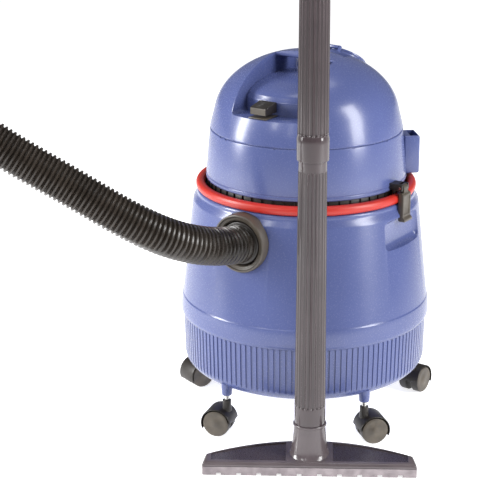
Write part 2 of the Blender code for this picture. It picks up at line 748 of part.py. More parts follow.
def make_filter():
    top = BASE_BOTTOM - GAP
    bottom = top - 0.1175
    cage = turned(
        "float_cage",
        [(0.0, bottom), (0.0475, bottom), (0.0475, top), (0.0455, top),
         (0.0455, bottom + 0.002), (0.0, bottom + 0.002)],
        24, WHITE,
    )
    windows = bmesh.new()
    for index in range(6):
        turn = Matrix.Rotation(index * math.tau / 6, 4, "Z")
        corners = add_box(windows, (0.035, -0.012, bottom + 0.012), (0.060, 0.012, top - 0.014))
        bmesh.ops.transform(windows, matrix=turn, verts=corners)
    change(cage, piece_of(windows, "cage_windows"))
    ball = bmesh.new()
    bmesh.ops.create_uvsphere(ball, u_segments=16, v_segments=10, radius=0.020)
    ball = piece_of(ball, "float_ball", WHITE)
    ball.location = (0, 0, bottom + 0.002 + GAP + 0.020)
    turned(
        "filter_cartridge",
        [(0.050, bottom - 0.001), (0.074, bottom - 0.001), (0.074, top - 0.0045),
         (0.050, top - 0.0045)],
        32, PAPER,
    )
    cap_top = bottom - 0.001 - GAP
    turned(
        "filter_cap",
        [(0.0, cap_top - 0.012), (0.012, cap_top - 0.012), (0.014, cap_top - 0.0035),
         (0.075, cap_top - 0.0035), (0.077, cap_top), (0.0, cap_top)],
        32, BLACK,
    )


def make_latch(name, side, clearance):
    """Latch, its bracket and its pin. The side is 1 at +X and -1 at -X."""
    hinge = joint_empty(
        name + "_hinge", (side * LATCH_PIN_FACE, 0, LATCH_PIN_HEIGHT), 0.0 if side > 0 else math.pi
    )
    face = LATCH_FACE - LATCH_PIN_FACE
    half = LATCH_WIDTH / 2
    lever = box(
        name + "_lever", (face, -half, LATCH_BOTTOM - LATCH_PIN_HEIGHT),
        (face + LATCH_THICK, half, -0.0070), BLACK, hinge, 0.001,
    )
    lip = box(
        name + "_lip", (face + 0.001, -half + 0.001, LATCH_BOTTOM - LATCH_PIN_HEIGHT),
        (face + LATCH_THICK + 0.003, half - 0.001, LATCH_BOTTOM - LATCH_PIN_HEIGHT + 0.0035),
        under=hinge, rounding=0.0008,
    )
    hub = rod(name + "_hub", 0.0046, (0, -0.0058, 0), (0, 0.0058, 0), under=hinge, steps=18)
    arm = box(name + "_arm", (-0.0010, -0.0058, -0.0095), (0.0046, 0.0058, 0), under=hinge)
    hole = rod(
        name + "_hole", LATCH_PIN_RADIUS + GAP, (0, -0.03, 0), (0, 0.03, 0), under=hinge, steps=14
    )
    for joined in (lip, hub, arm):
        change(lever, joined, "UNION")
    change(lever, hole)
    rod(
        name + "_pin", LATCH_PIN_RADIUS, (0, -0.0104, 0), (0, 0.0104, 0), STEEL, hinge, 14
    )
    bracket_low = LATCH_PIN_HEIGHT - 0.0045
    place = joint_empty(name + "_bracket_place", (0, 0, 0), 0.0 if side > 0 else math.pi)
    bracket = box(
        name + "_bracket", (SEAM_RADIUS, -0.0100, bracket_low),
        (LATCH_PIN_FACE + 0.0034, 0.0100, bracket_low + 0.0095), BLACK, place, 0.0005,
    )
    gap_for_hub = box(
        name + "_bracket_gap", (LATCH_PIN_FACE - 0.0056, -0.0062, bracket_low - 0.01),
        (LATCH_PIN_FACE + OVERSHOOT, 0.0062, bracket_low + 0.02), under=place,
    )
    change(bracket, clearance)
    change(bracket, gap_for_hub)
    change(bracket, hole)


def make_switch():
    well_floor = LEDGE_HEIGHT
    box(
        "switch_frame", (-0.0135, -0.1300, well_floor + GAP), (0.0135, -0.0990, well_floor + 0.0020),
        BLACK, None, 0.0005,
    )
    pivot = joint_empty("switch_pivot", (0, -0.1010, well_floor + 0.0080))
    lift = -0.0080 + 0.0060
    shape = bmesh.new()
    outline = ((-0.0268, lift), (0.0015, lift), (0.0015, 0.0125), (-0.0040, 0.0135),
               (-0.0255, 0.0085), (-0.0268, 0.0070))
    left = [shape.verts.new((-0.0115, y, z)) for y, z in outline]
    right = [shape.verts.new((0.0115, y, z)) for y, z in outline]
    shape.faces.new(left)
    shape.faces.new(right[::-1])
    for k in range(len(outline)):
        following = (k + 1) % len(outline)
        shape.faces.new((left[k], left[following], right[following], right[k]))
    rocker = piece_of(shape, "power_switch", BLACK, pivot, 30.0)
    ribs = bmesh.new()
    for k in range(5):
        y = -0.0215 + k * 0.0042
        low = 0.0135 + (y + 0.0040) * (0.0050 / 0.0215) - 0.0009
        add_box(ribs, (-0.02, y - 0.0009, low), (0.02, y + 0.0009, low + 0.004))
    change(rocker, piece_of(ribs, "switch_grooves", under=pivot))


# ---------------------------------------------------------------- wand and nozzle


def make_nozzle(wand):
    """Floor nozzle in the wand's frame: -Y is its straight front edge."""
    arch = [
        (x, NOZZLE_BACK - (NOZZLE_BACK - NOZZLE_SIDE) * (x / (NOZZLE_HALF - 0.002)) ** 2)
        for x in ((NOZZLE_HALF - 0.002) * (1 - k / 8) for k in range(17))
    ]
    outline = [(-NOZZLE_HALF, NOZZLE_FRONT), (NOZZLE_HALF, NOZZLE_FRONT)] + arch
    shape = bmesh.new()
    floor = FLOOR
    low = [shape.verts.new((x, y, floor)) for x, y in outline]
    rim = [shape.verts.new((x, y, floor + NOZZLE_RIM)) for x, y in outline]
    middle_y = (NOZZLE_FRONT + NOZZLE_SIDE) / 2
    slope = (NOZZLE_TOP - NOZZLE_RIM - 0.003) / (NOZZLE_BACK - NOZZLE_FRONT)
    top = [
        shape.verts.new(
            (x * 0.975, middle_y + (y - middle_y) * 0.90,
             floor + NOZZLE_RIM + 0.003 + slope * (y - NOZZLE_FRONT))
        )
        for x, y in outline
    ]
    shape.faces.new(low[::-1])
    shape.faces.new(top)
    for first, second in ((low, rim), (rim, top)):
        for k in range(len(outline)):
            following = (k + 1) % len(outline)
            shape.faces.new((first[k], first[following], second[following], second[k]))
    body = piece_of(shape, "nozzle_body", WAND_GREY, wand, 30.0)
    neck = turned(
        "nozzle_neck",
        [(0.0, floor + 0.014), (0.0312, floor + 0.014), (0.0305, floor + 0.0195),
         (0.0262, floor + 0.029), (0.0238, floor + 0.042), (NECK_RADIUS + 0.0004, floor + 0.056),
         (NECK_RADIUS, -0.0040), (NECK_RADIUS + 0.0014, -0.0030), (NECK_RADIUS + 0.0014, 0.0),
         (0.0, 0.0)],
        32, under=wand,
    )
    bore = rod(
        "neck_bore", LOWER_TOP_RADIUS - 0.0007 + GAP, (0, 0, floor + 0.006), (0, 0, 0.01),
        under=wand, steps=28,
    )
    slot = box(
        "suction_slot", (-SLOT_HALF, SLOT_FRONT, floor - 0.01),
        (SLOT_HALF, SLOT_BACK, floor + SLOT_HIGH), under=wand,
    )
    chamber = box(
        "suction_chamber", (-0.024, SLOT_FRONT, floor - 0.01), (0.024, 0.018, floor + SLOT_HIGH),
        under=wand,
    )
    notches = bmesh.new()
    first = -NOTCH_PITCH * (NOTCH_COUNT - 1) / 2
    for k in range(NOTCH_COUNT):
        x = first + k * NOTCH_PITCH
        add_box(
            notches, (x - 0.0032, NOZZLE_FRONT - 0.01, floor - 0.01),
            (x + 0.0032, SLOT_FRONT + 0.001, floor + 0.0035),
        )
    change(body, neck, "UNION")
    change(body, bore)
    change(body, slot)
    change(body, chamber)
    change(body, piece_of(notches, "rim_notches", under=wand))
    strip_high = floor + SLOT_HIGH - GAP
    box(
        "front_strip", (-SLOT_HALF + 0.002, SLOT_FRONT + GAP, floor + 0.0040),
        (SLOT_HALF - 0.002, SLOT_FRONT + 0.0028, strip_high), BRISTLE, wand,
    )
    half = (SLOT_HALF - 0.002 - 0.0245) / 2
    middle = 0.0245 + half
    for name, way in (("rear_strip_left", -1), ("rear_strip_right", 1)):
        box(
            name, (way * middle - half, SLOT_BACK - 0.0028, floor + 0.0010),
            (way * middle + half, SLOT_BACK - GAP, strip_high), BRISTLE, wand,
        )


def make_tubes(wand):
    spigot_radius = LOWER_TOP_RADIUS - 0.0007
    turned(
        "lower_tube",
        [(TUBE_BORE, -SPIGOT), (spigot_radius, -SPIGOT), (spigot_radius, GAP),
         (LOWER_BOTTOM_RADIUS, GAP), (LOWER_BOTTOM_RADIUS, 0.024), (LOWER_TOP_RADIUS, LOWER_LENGTH),
         (TUBE_BORE, LOWER_LENGTH)],
        28, WAND_GREY, wand,
    )
    collar = LOWER_LENGTH - 0.017
    top = collar + UPPER_LENGTH
    socket = LOWER_TOP_RADIUS + 0.0006
    turned(
        "upper_tube",
        [(socket, collar), (COLLAR_RADIUS - 0.0002, collar), (COLLAR_RADIUS, collar + COLLAR_LENGTH),
         (UPPER_BOTTOM_RADIUS, collar + COLLAR_LENGTH + 0.005), (UPPER_TOP_RADIUS, top),
         (TUBE_BORE, top), (TUBE_BORE, LOWER_LENGTH + GAP), (socket, LOWER_LENGTH + GAP)],
        28, WAND_GREY, wand,
    )
    return top


def grip_path(start):
    """Middle line of the hand grip in the wand's XZ plane: up, round the bend, then straight."""
    points = [Vector((0, 0, start)), Vector((0, 0, start + GRIP_RISE))]
    bend_low = start + GRIP_RISE
    steps = 8
    for k in range(1, steps + 1):
        angle = GRIP_BEND * k / steps
        points.append(
            Vector((-GRIP_BEND_RADIUS * (1 - math.cos(angle)), 0,
                    bend_low + GRIP_BEND_RADIUS * math.sin(angle)))
        )
    return points


def make_grip(wand, tube_top):
    """Bent hand grip: a collar over the upper tube, a bend, and a straight part for the hand."""
    start = tube_top - 0.020
    path = grip_path(start)
    way = Vector((-math.sin(GRIP_BEND), 0, math.cos(GRIP_BEND)))
    bend_end = path[-1].copy()
    shoulder = bend_end + way * GRIP_STRAIGHT
    path += [shoulder, shoulder + way * 0.0001, shoulder + way * 0.020]
    collar, tip = 0.0225, TUBE_BORE + 0.0022
    count = len(path)
    outer = [collar, GRIP_RADIUS] + [GRIP_RADIUS] * (count - 4) + [tip, tip]
    path.insert(1, Vector((0, 0, tube_top + 0.004)))
    outer.insert(1, collar)
    path.insert(2, Vector((0, 0, tube_top + 0.008)))
    outer.insert(2, GRIP_RADIUS + 0.0005)
    socket_radius = UPPER_TOP_RADIUS + 0.0006
    inner = [0.0150] * len(path)
    tangents = []
    for k, point in enumerate(path):
        before = path[max(k - 1, 0)]
        after = path[min(k + 1, len(path) - 1)]
        tangents.append((after - before).normalized())
    tangents[-1] = tangents[-2] = tangents[-3] = way
    shape = bmesh.new()
    sides = 20
    rings = []
    for radii in (outer, inner):
        for point, tangent, radius in zip(path, tangents, radii):
            across = Vector((0, 1, 0))
            out = across.cross(tangent)
            rings.append([
                shape.verts.new(point + radius * (math.cos(a) * out + math.sin(a) * across))
                for a in (math.tau * s / sides for s in range(sides))
            ])
    count = len(path)
    order = list(range(count)) + list(range(2 * count - 1, count - 1, -1))
    for first, second in zip(order, order[1:] + order[:1]):
        for s in range(sides):
            following = (s + 1) % sides
            shape.faces.new((rings[first][s], rings[first][following],
                             rings[second][following], rings[second][s]))
    grip = piece_of(shape, "hand_grip", WAND_GREY, wand)
    socket = rod(
        "grip_socket", socket_radius, (0, 0, start - 0.01), (0, 0, tube_top + GAP),
        under=wand, steps=28,
    )
    change(grip, socket)
    vent_spot = bend_end + way * 0.041
    up = Vector((0, 1, 0)).cross(way).normalized()
    vent = rod("grip_vent", 0.004, vent_spot, vent_spot + up * 0.03,
               under=wand, steps=12)
    change(grip, vent)

    slide = joint_empty("air_regulator_axis", vent_spot, under=wand)
    ring_inner = GRIP_RADIUS + RUNNING
    regulator = turned(
        "air_regulator",
        [(ring_inner, -0.011), (ring_inner + 0.0022, -0.011), (ring_inner + 0.0028, -0.009),
         (ring_inner + 0.0028, 0.009), (ring_inner + 0.0022, 0.011), (ring_inner, 0.011)],
        28, BLACK, slide, way,
    )
    out = (0.030 * math.cos(GRIP_BEND), 0, 0.030 * math.sin(GRIP_BEND))
    window = rod("regulator_window", 0.0045, (0, 0, 0), out,
                 under=slide, steps=12)
    change(regulator, window)

    cuff = joint_empty("grip_cuff_axis", shoulder, under=wand)
    turned(
        "grip_cuff",
        [(tip + RUNNING, GAP), (CUFF_RADIUS - 0.003, GAP), (CUFF_RADIUS, 0.010),
         (CUFF_RADIUS, CUFF_LENGTH), (TUBE_BORE, CUFF_LENGTH), (TUBE_BORE, 0.0215),
         (tip + RUNNING, 0.0215)],
        32, BLACK, cuff, way,
    )
    return shoulder + way * (CUFF_LENGTH + GAP), way


# ---------------------------------------------------------------- hose


def smooth_through(points, first_way, last_way, count):
    """Points on the natural spline through the route, at equal steps of its parameter."""
    points = np.array(points)
    steps = np.linalg.norm(np.diff(points, axis=0), axis=1)
    at = np.concatenate(([0.0], np.cumsum(steps)))
    size = len(points)
    system, wanted = np.zeros((size, size)), np.zeros((size, 3))
    system[0, 0] = system[-1, -1] = 1.0
    wanted[0], wanted[-1] = first_way, last_way
    for k in range(1, size - 1):
        before, after = steps[k - 1], steps[k]
        system[k, k - 1 : k + 2] = after, 2 * (before + after), before
        wanted[k] = 3 * (
            after * (points[k] - points[k - 1]) / before
            + before * (points[k + 1] - points[k]) / after
        )
    ways = np.linalg.solve(system, wanted)
    found = []
    for place in np.linspace(0.0, at[-1], count):
        k = min(int(np.searchsorted(at, place, side="right")) - 1, size - 2)
        share, span = (place - at[k]) / steps[k], steps[k]
        found.append(
            (2 * share**3 - 3 * share**2 + 1) * points[k]
            + (share**3 - 2 * share**2 + share) * span * ways[k]
            + (3 * share**2 - 2 * share**3) * points[k + 1]
            + (share**3 - share**2) * span * ways[k + 1]
        )
    return found


def carried(route, first, last):
    """Moves a route so that its ends meet the two given points, and the points between them follow."""
    first_move, last_move = first - Vector(route[0]), last - Vector(route[-1])
    most = len(route) - 1
    return [
        Vector(point) + first_move * (1 - k / most) + last_move * (k / most)
        for k, point in enumerate(route)
    ]


def make_hose(end, end_way):
    """Hose from the cuff in the inlet to the end of the grip's cuff, which it meets along end_way."""
    start = Vector((0, -(INLET_FACE - 0.004 + GAP), INLET_HEIGHT))
    straight = Vector((0, -0.006, 0))
    route = carried(HOSE_ROUTE, start + straight, end + end_way * 0.006)
    first_way = (route[1] - route[0]).normalized()
    middle = smooth_through(route, first_way, -end_way, 25)
    points = [start] + [Vector(point) for point in middle] + [end]
    last = len(points) - 1
    ways = [points[min(k + 1, last)] - points[max(k - 1, 0)] for k in range(last + 1)]
    tube, rings, side = bmesh.new(), [], Vector((1, 0, 0))
    for point, way in zip(points, ways):
        way = way.normalized()
        side = (side - way * side.dot(way)).normalized()
        over = way.cross(side)
        for radius in (HOSE_DIAMETER / 2, HOSE_DIAMETER / 2 - HOSE_WALL):
            rings.append([
                tube.verts.new(point + radius * (side * math.cos(turn) + over * math.sin(turn)))
                for turn in (math.tau * k / HOSE_SIDES for k in range(HOSE_SIDES))
            ])
    outside, inside = rings[0::2], rings[1::2]
    order = outside + inside[::-1]
    for ring, following in zip(order, order[1:] + order[:1]):
        for k in range(HOSE_SIDES):
            n = (k + 1) % HOSE_SIDES
            tube.faces.new((ring[k], ring[n], following[n], following[k]))
    piece_of(tube, "hose", RUBBER)


def main():
    for item in list(bpy.data.objects):
        bpy.data.objects.remove(item)
    make_tank()
    make_inlet()
    for index in range(CASTOR_COUNT):
        make_castor(index)
    base = make_base()
    clearance = make_housing()
    make_holder("tool_holder_right", math.radians(132.0), clearance)
    make_holder("tool_holder_left", math.radians(-132.0), clearance)
    make_cover()
    make_motor(base)
    make_filter()
    make_latch("latch_right", 1, clearance)
    make_latch("latch_left", -1, clearance)
    make_switch()
    wand_spot = (
        WAND_SIDE * math.cos(WAND_TURN) + WAND_DISTANCE * math.sin(WAND_TURN),
        WAND_SIDE * math.sin(WAND_TURN) - WAND_DISTANCE * math.cos(WAND_TURN),
        0.0,
    )
    wand = joint_empty("wand_axis", wand_spot, WAND_TURN)
    make_nozzle(wand)
    end, end_way = make_grip(wand, make_tubes(wand))
    wand_place = Matrix.Translation(wand_spot) @ Matrix.Rotation(WAND_TURN, 4, "Z")
    make_hose(wand_place @ end, wand_place.to_3x3() @ end_way)


main()
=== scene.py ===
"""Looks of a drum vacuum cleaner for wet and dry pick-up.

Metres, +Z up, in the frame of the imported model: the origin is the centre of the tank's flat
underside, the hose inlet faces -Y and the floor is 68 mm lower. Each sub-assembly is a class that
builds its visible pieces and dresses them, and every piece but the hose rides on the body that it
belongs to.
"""

import json
import logging
import math
from collections.abc import Callable, Iterable, Sequence
from dataclasses import dataclass, field
from enum import Enum

import bpy
import numpy as np
from mathutils import Matrix, Vector

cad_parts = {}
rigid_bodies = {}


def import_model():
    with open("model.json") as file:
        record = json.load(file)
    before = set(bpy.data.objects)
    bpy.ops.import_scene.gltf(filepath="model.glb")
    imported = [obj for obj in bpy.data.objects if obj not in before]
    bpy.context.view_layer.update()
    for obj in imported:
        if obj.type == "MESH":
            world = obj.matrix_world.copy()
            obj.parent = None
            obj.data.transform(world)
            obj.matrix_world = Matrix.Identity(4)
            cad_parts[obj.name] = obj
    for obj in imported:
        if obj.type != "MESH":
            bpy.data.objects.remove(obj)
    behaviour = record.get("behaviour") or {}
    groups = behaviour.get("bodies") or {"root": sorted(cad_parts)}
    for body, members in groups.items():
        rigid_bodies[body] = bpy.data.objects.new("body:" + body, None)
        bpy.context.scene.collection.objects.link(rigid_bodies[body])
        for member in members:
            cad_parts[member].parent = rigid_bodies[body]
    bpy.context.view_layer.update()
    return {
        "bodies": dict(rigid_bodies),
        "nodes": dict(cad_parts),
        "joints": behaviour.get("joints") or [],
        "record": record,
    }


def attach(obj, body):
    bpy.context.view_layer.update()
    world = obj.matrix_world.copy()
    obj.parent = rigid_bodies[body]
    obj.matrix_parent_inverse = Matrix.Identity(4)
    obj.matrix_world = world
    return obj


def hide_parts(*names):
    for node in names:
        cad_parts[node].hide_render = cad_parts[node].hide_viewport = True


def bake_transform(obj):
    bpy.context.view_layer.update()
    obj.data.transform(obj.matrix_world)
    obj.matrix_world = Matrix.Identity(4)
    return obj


log = logging.getLogger("drum_vacuum")

Outline = list[tuple[float, float]]
Piece = bpy.types.Object
Material = bpy.types.Material
Tree = bpy.types.NodeTree
Node = bpy.types.Node

FLOOR = -0.068
WAND_TURN = math.radians(32.0)
WAND_SPOT = Vector((0.13216, -0.19452, 0.0))
GRIP_BEND = math.radians(60.0)
INLET_HEIGHT = 0.2314
CASTOR_ANGLES = tuple(math.radians(-9.0 + 72.0 * k) for k in range(5))
CASTOR_TRAILS = tuple(math.radians(a) for a in (194.6, 49.4, 88.0, 170.0, 250.0))


# ------------------------------------------------------------------ modelling by hand


def deselect() -> None:
    """Leaves edit mode and selects nothing."""
    if bpy.context.mode != "OBJECT":
        bpy.ops.object.mode_set(mode="OBJECT")
    bpy.ops.object.select_all(action="DESELECT")


def pick(piece: Piece) -> None:
    """Makes one piece the selected and active one."""
    deselect()
    piece.select_set(True)
    bpy.context.view_layer.objects.active = piece


def fresh(name: str) -> Piece:
    """Names the primitive that was just added, and puts its place into its mesh."""
    piece = bpy.context.object
    piece.name = name
    piece.data.name = name
    bpy.ops.object.transform_apply(location=True, rotation=True, scale=True)
    return piece


def rounded(outline: Outline, radius: float, steps: int = 3, least: float = 12.0) -> Outline:
    """Rounds the corners of a closed outline.

    Args:
        outline: Points of (radius, height), in order.
        radius: How far from each corner its rounding starts, where there is room.
        steps: Pieces of each rounding.
        least: Smallest turn in degrees that is rounded.

    Returns:
        The outline with a short curve at each corner that isn't on the axis.
    """
    found: Outline = []
    count = len(outline)
    for k, corner in enumerate(outline):
        here = Vector(corner)
        before, after = Vector(outline[k - 1]) - here, Vector(outline[(k + 1) % count]) - here
        turn = 180.0 - math.degrees(before.angle(after, math.pi))
        reach = min(radius, before.length * 0.45, after.length * 0.45)
        if here.x < 1e-6 or turn < least or reach < 1e-5:
            found.append(corner)
            continue
        start, end = here + before.normalized() * reach, here + after.normalized() * reach
        for s in range(steps + 1):
            share = s / steps
            point = start.lerp(here, share).lerp(here.lerp(end, share), share)
            found.append((point.x, point.y))
    return found


def turned(name: str, outline: Outline, steps: int = 96) -> Piece:
    """Turns a closed outline about Z, from a ring of vertices that is set to the outline and spun.

    Args:
        name: Name of the piece.
        outline: Closed section, as points of (radius, height).
        steps: Sides of the finished piece.
    """
    deselect()
    bpy.ops.mesh.primitive_circle_add(vertices=len(outline), radius=1.0)
    piece = fresh(name)
    for vertex, (radius, height) in zip(piece.data.vertices, outline):
        vertex.co = (radius, 0.0, height)
    bpy.ops.object.mode_set(mode="EDIT")
    bpy.ops.mesh.select_all(action="SELECT")
    bpy.ops.mesh.spin(steps=steps, angle=math.tau, center=(0, 0, 0), axis=(0, 0, 1))
    bpy.ops.mesh.select_all(action="SELECT")
    bpy.ops.mesh.remove_doubles(threshold=1e-6)
    bpy.ops.mesh.delete_loose()
    bpy.ops.mesh.select_all(action="SELECT")
    bpy.ops.mesh.normals_make_consistent(inside=False)
    bpy.ops.object.mode_set(mode="OBJECT")
    return piece


def rod(name: str, radius: float, low: float, high: float, edge: float = 0.0005,
        steps: int = 32) -> Piece:
    """A turned rod along Z with rounded ends."""
    section = [(0.0, low), (radius, low), (radius, high), (0.0, high)]
    return turned(name, rounded(section, edge, 2), steps)


def block(name: str, low: Sequence[float], high: Sequence[float], edge: float = 0.0008,
          segments: int = 2) -> Piece:
    """A block between two corners, with its edges bevelled in edit mode."""
    deselect()
    low, high = Vector(low), Vector(high)
    bpy.ops.mesh.primitive_cube_add(size=1.0, location=(low + high) / 2, scale=high - low)
    piece = fresh(name)
    if edge:
        bpy.ops.object.mode_set(mode="EDIT")
        bpy.ops.mesh.select_all(action="SELECT")
        bpy.ops.mesh.bevel(offset=edge, segments=segments, affect="EDGES")
        bpy.ops.object.mode_set(mode="OBJECT")
    return piece


def prism(name: str, outline: Outline, low: float, high: float) -> Piece:
    """A flat outline in X and Y, filled and extruded upwards."""
    deselect()
    bpy.ops.mesh.primitive_circle_add(vertices=len(outline), radius=1.0, fill_type="NGON")
    piece = fresh(name)
    for vertex, (x, y) in zip(piece.data.vertices, outline):
        vertex.co = (x, y, low)
    bpy.ops.object.mode_set(mode="EDIT")
    bpy.ops.mesh.select_all(action="SELECT")
    bpy.ops.mesh.extrude_region_move(TRANSFORM_OT_translate={"value": (0, 0, high - low)})
    bpy.ops.mesh.select_all(action="SELECT")
    bpy.ops.mesh.normals_make_consistent(inside=False)
    bpy.ops.object.mode_set(mode="OBJECT")
    return piece


def combine(piece: Piece, *tools: Piece, operation: str = "DIFFERENCE") -> Piece:
    """Cuts the tools out of a piece, or fuses them with it, and removes them."""
    for tool in tools:
        step = piece.modifiers.new("combine", "BOOLEAN")
        step.object, step.operation, step.solver = tool, operation, "EXACT"
        pick(piece)
        bpy.ops.object.modifier_apply(modifier=step.name)
        bpy.data.objects.remove(tool)
    return piece


def fused(piece: Piece, *tools: Piece) -> Piece:
    """Fuses the tools with a piece."""
    return combine(piece, *tools, operation="UNION")


def joined(name: str, pieces: Iterable[Piece]) -> Piece:
    """Joins separate meshes into one object."""
    parts = list(pieces)
    pick(parts[0])
    for part in parts:
        part.select_set(True)
    bpy.ops.object.join()
    bpy.context.object.name = name
    return bpy.context.object


def softened(piece: Piece, width: float, segments: int = 2, angle: float = 34.0) -> Piece:
    """Rounds the sharp edges of a piece with a bevel modifier that is then applied."""
    weld = piece.modifiers.new("weld", "WELD")
    weld.merge_threshold = 0.00004
    step = piece.modifiers.new("soften", "BEVEL")
    step.width, step.segments, step.limit_method = width, segments, "ANGLE"
    step.angle_limit = math.radians(angle)
    step.harden_normals = False
    pick(piece)
    bpy.ops.object.modifier_apply(modifier=weld.name)
    bpy.ops.object.modifier_apply(modifier=step.name)
    return piece


def moved(piece: Piece, matrix: Matrix) -> Piece:
    """Moves the mesh itself, so that the object stays at the origin."""
    piece.data.transform(matrix)
    piece.data.update()
    return piece


def copied(piece: Piece, name: str, matrix: Matrix) -> Piece:
    """A copy with its own mesh, moved by a matrix."""
    twin = piece.copy()
    twin.data = piece.data.copy()
    twin.name = name
    bpy.context.scene.collection.objects.link(twin)
    return moved(twin, matrix)


def aimed(direction: Sequence[float], spot: Sequence[float] = (0, 0, 0)) -> Matrix:
    """Matrix that turns +Z to a direction and then moves the origin to a spot."""
    turn = Vector((0, 0, 1)).rotation_difference(Vector(direction)).to_matrix().to_4x4()
    return Matrix.Translation(Vector(spot)) @ turn


def around(angle: float, radius: float, height: float) -> Vector:
    """A point at an angle from the front, -Y, counted towards +X."""
    return Vector((radius * math.sin(angle), -radius * math.cos(angle), height))


def turned_about(angle: float) -> Matrix:
    """Matrix of a turn about Z."""
    return Matrix.Rotation(angle, 4, "Z")


def wand_place() -> Matrix:
    """Matrix from the wand's own frame, where -Y is the nozzle's front, to the object's frame."""
    return Matrix.Translation(WAND_SPOT) @ turned_about(WAND_TURN)


def dress(piece: Piece, body: str, *materials: Material, nodes: Sequence[str] = (),
          angle: float = 34.0) -> Piece:
    """Gives a piece its materials, smooth shading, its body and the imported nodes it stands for.

    Args:
        piece: The finished piece.
        body: Body that it rides on.
        materials: Its materials, in slot order.
        nodes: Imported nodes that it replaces.
        angle: Edges sharper than this stay sharp.

    Returns:
        The same piece.
    """
    kept = [polygon.material_index for polygon in piece.data.polygons]
    piece.data.materials.clear()
    for material in materials:
        piece.data.materials.append(material)
    if len(materials) > 1:
        piece.data.polygons.foreach_set("material_index", kept)
    else:
        piece.data.polygons.foreach_set("material_index", [0] * len(kept))
    pick(piece)
    bpy.ops.object.shade_smooth_by_angle(angle=math.radians(angle))
    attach(piece, body)
    if nodes:
        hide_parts(*nodes)
    log.info("%s rides on %s with %d faces", piece.name, body, len(kept))
    return piece


# ------------------------------------------------------------------ finishes


def colour(code: str) -> tuple[float, float, float, float]:
    """Turns an sRGB hex value into the linear colour that a shader takes."""
    parts = [int(code[k : k + 2], 16) / 255 for k in (1, 3, 5)]
    linear = [c / 12.92 if c <= 0.04045 else ((c + 0.055) / 1.055) ** 2.4 for c in parts]
    return (*linear, 1.0)


def add(tree: Tree, kind: str, links: dict[str | int, bpy.types.NodeSocket] | None = None,
        values: dict[str | int, object] | None = None, **settings: object) -> Node:
    """Adds one node to a tree.

    Args:
        tree: The material's node tree.
        kind: The node's type, without its "ShaderNode" start.
        links: Outputs to link, by the name or number of the input they go to.
        values: Values to set, by the name or number of their input.
        settings: Properties of the node itself.

    Returns:
        The new node.
    """
    made = tree.nodes.new("ShaderNode" + kind)
    for key, value in settings.items():
        setattr(made, key, value)
    for key, value in (values or {}).items():
        made.inputs[key].default_value = value
    for key, output in (links or {}).items():
        tree.links.new(output, made.inputs[key])
    return made


class Pattern(Enum):
    """Ways in which a surface was made, which set its fine relief."""

    POLISHED_MOULD = "polished mould"
    SPARK_ERODED = "spark eroded mould"
    DRAWN = "drawn lengthwise"
    BRUSHED = "turned or brushed"
    PAPER = "pressed paper"


@dataclass(frozen=True)
class Finish:
    """One real finish.

    The pale and dark tones are the two ends of its slow colour drift, and grain_mm is the size of
    its fine relief.
    """

    name: str
    pale: str
    dark: str
    rough: float
    pattern: Pattern = Pattern.POLISHED_MOULD
    grain_mm: float = 1.2
    relief: float = 0.04
    metallic: float = 0.0
    coat: float = 0.0
    drift_mm: float = 90.0
    ior: float = 1.49
    sheen: float = 0.0

    def material(self) -> Material:
        """Builds the material's nodes, on the piece's Object coordinates."""
        made = bpy.data.materials.get(self.name)
        if made:
            return made
        made = bpy.data.materials.new(self.name)
        made.use_nodes = True
        tree = made.node_tree
        shader = tree.nodes["Principled BSDF"]
        shader.inputs["Metallic"].default_value = self.metallic
        shader.inputs["IOR"].default_value = 1.5 if self.metallic else self.ior
        shader.inputs["Coat Weight"].default_value = self.coat
        shader.inputs["Coat Roughness"].default_value = 0.08
        shader.inputs["Sheen Weight"].default_value = self.sheen
        place = add(tree, "TexCoord").outputs["Object"]
        stretch = {
            Pattern.DRAWN: (1.0, 1.0, 0.05),
            Pattern.BRUSHED: (1.0, 1.0, 14.0),
        }.get(self.pattern, (1.0, 1.0, 1.0))
        along = add(tree, "Mapping", {"Vector": place}, {"Scale": stretch}).outputs[0]
        drift = add(
            tree, "TexNoise", {"Vector": place},
            {"Scale": 1000.0 / self.drift_mm, "Detail": 2.0, "Roughness": 0.5},
        ).outputs["Fac"]
        tone = add(tree, "ValToRGB", {"Fac": drift})
        tone.color_ramp.elements[0].position, tone.color_ramp.elements[1].position = 0.32, 0.68
        tone.color_ramp.elements[0].color = colour(self.dark)
        tone.color_ramp.elements[1].color = colour(self.pale)
        tree.links.new(tone.outputs["Color"], shader.inputs["Base Color"])
        fine = add(
            tree, "TexNoise", {"Vector": along},
            {"Scale": 1000.0 / self.grain_mm, "Detail": 3.0, "Roughness": 0.55},
        ).outputs["Fac"]
        spread = 0.10 if self.pattern is Pattern.SPARK_ERODED else 0.05
        rough = add(
            tree, "MapRange", {"Value": fine},
            {"From Min": 0.3, "From Max": 0.7, "To Min": max(0.02, self.rough - spread),
             "To Max": self.rough + spread},
        ).outputs["Result"]
        tree.links.new(rough, shader.inputs["Roughness"])
        bump = add(
            tree, "Bump", {"Height": fine}, {"Strength": self.relief * 4, "Distance": 0.0002}
        ).outputs["Normal"]
        tree.links.new(bump, shader.inputs["Normal"])
        return made


# Polypropylene from a polished mould: clean, waxy gloss, and slightly paler where it is thick.
BLUE = Finish("moulded blue polypropylene", "#525C8C", "#4C5685", 0.25, grain_mm=1.6,
              relief=0.02, drift_mm=140.0, coat=0.12)
# Soft PVC profile drawn round the rim: even red with a wide soft shine.
RED = Finish("drawn red pvc trim", "#B92A20", "#B1271D", 0.38, grain_mm=1.0, relief=0.02)
# ABS with a fine spark-eroded grain: brownish black, its gloss broken up.
BLACK = Finish("grained black abs", "#2A2522", "#211D1B", 0.38, Pattern.SPARK_ERODED,
               grain_mm=0.7, relief=0.08)
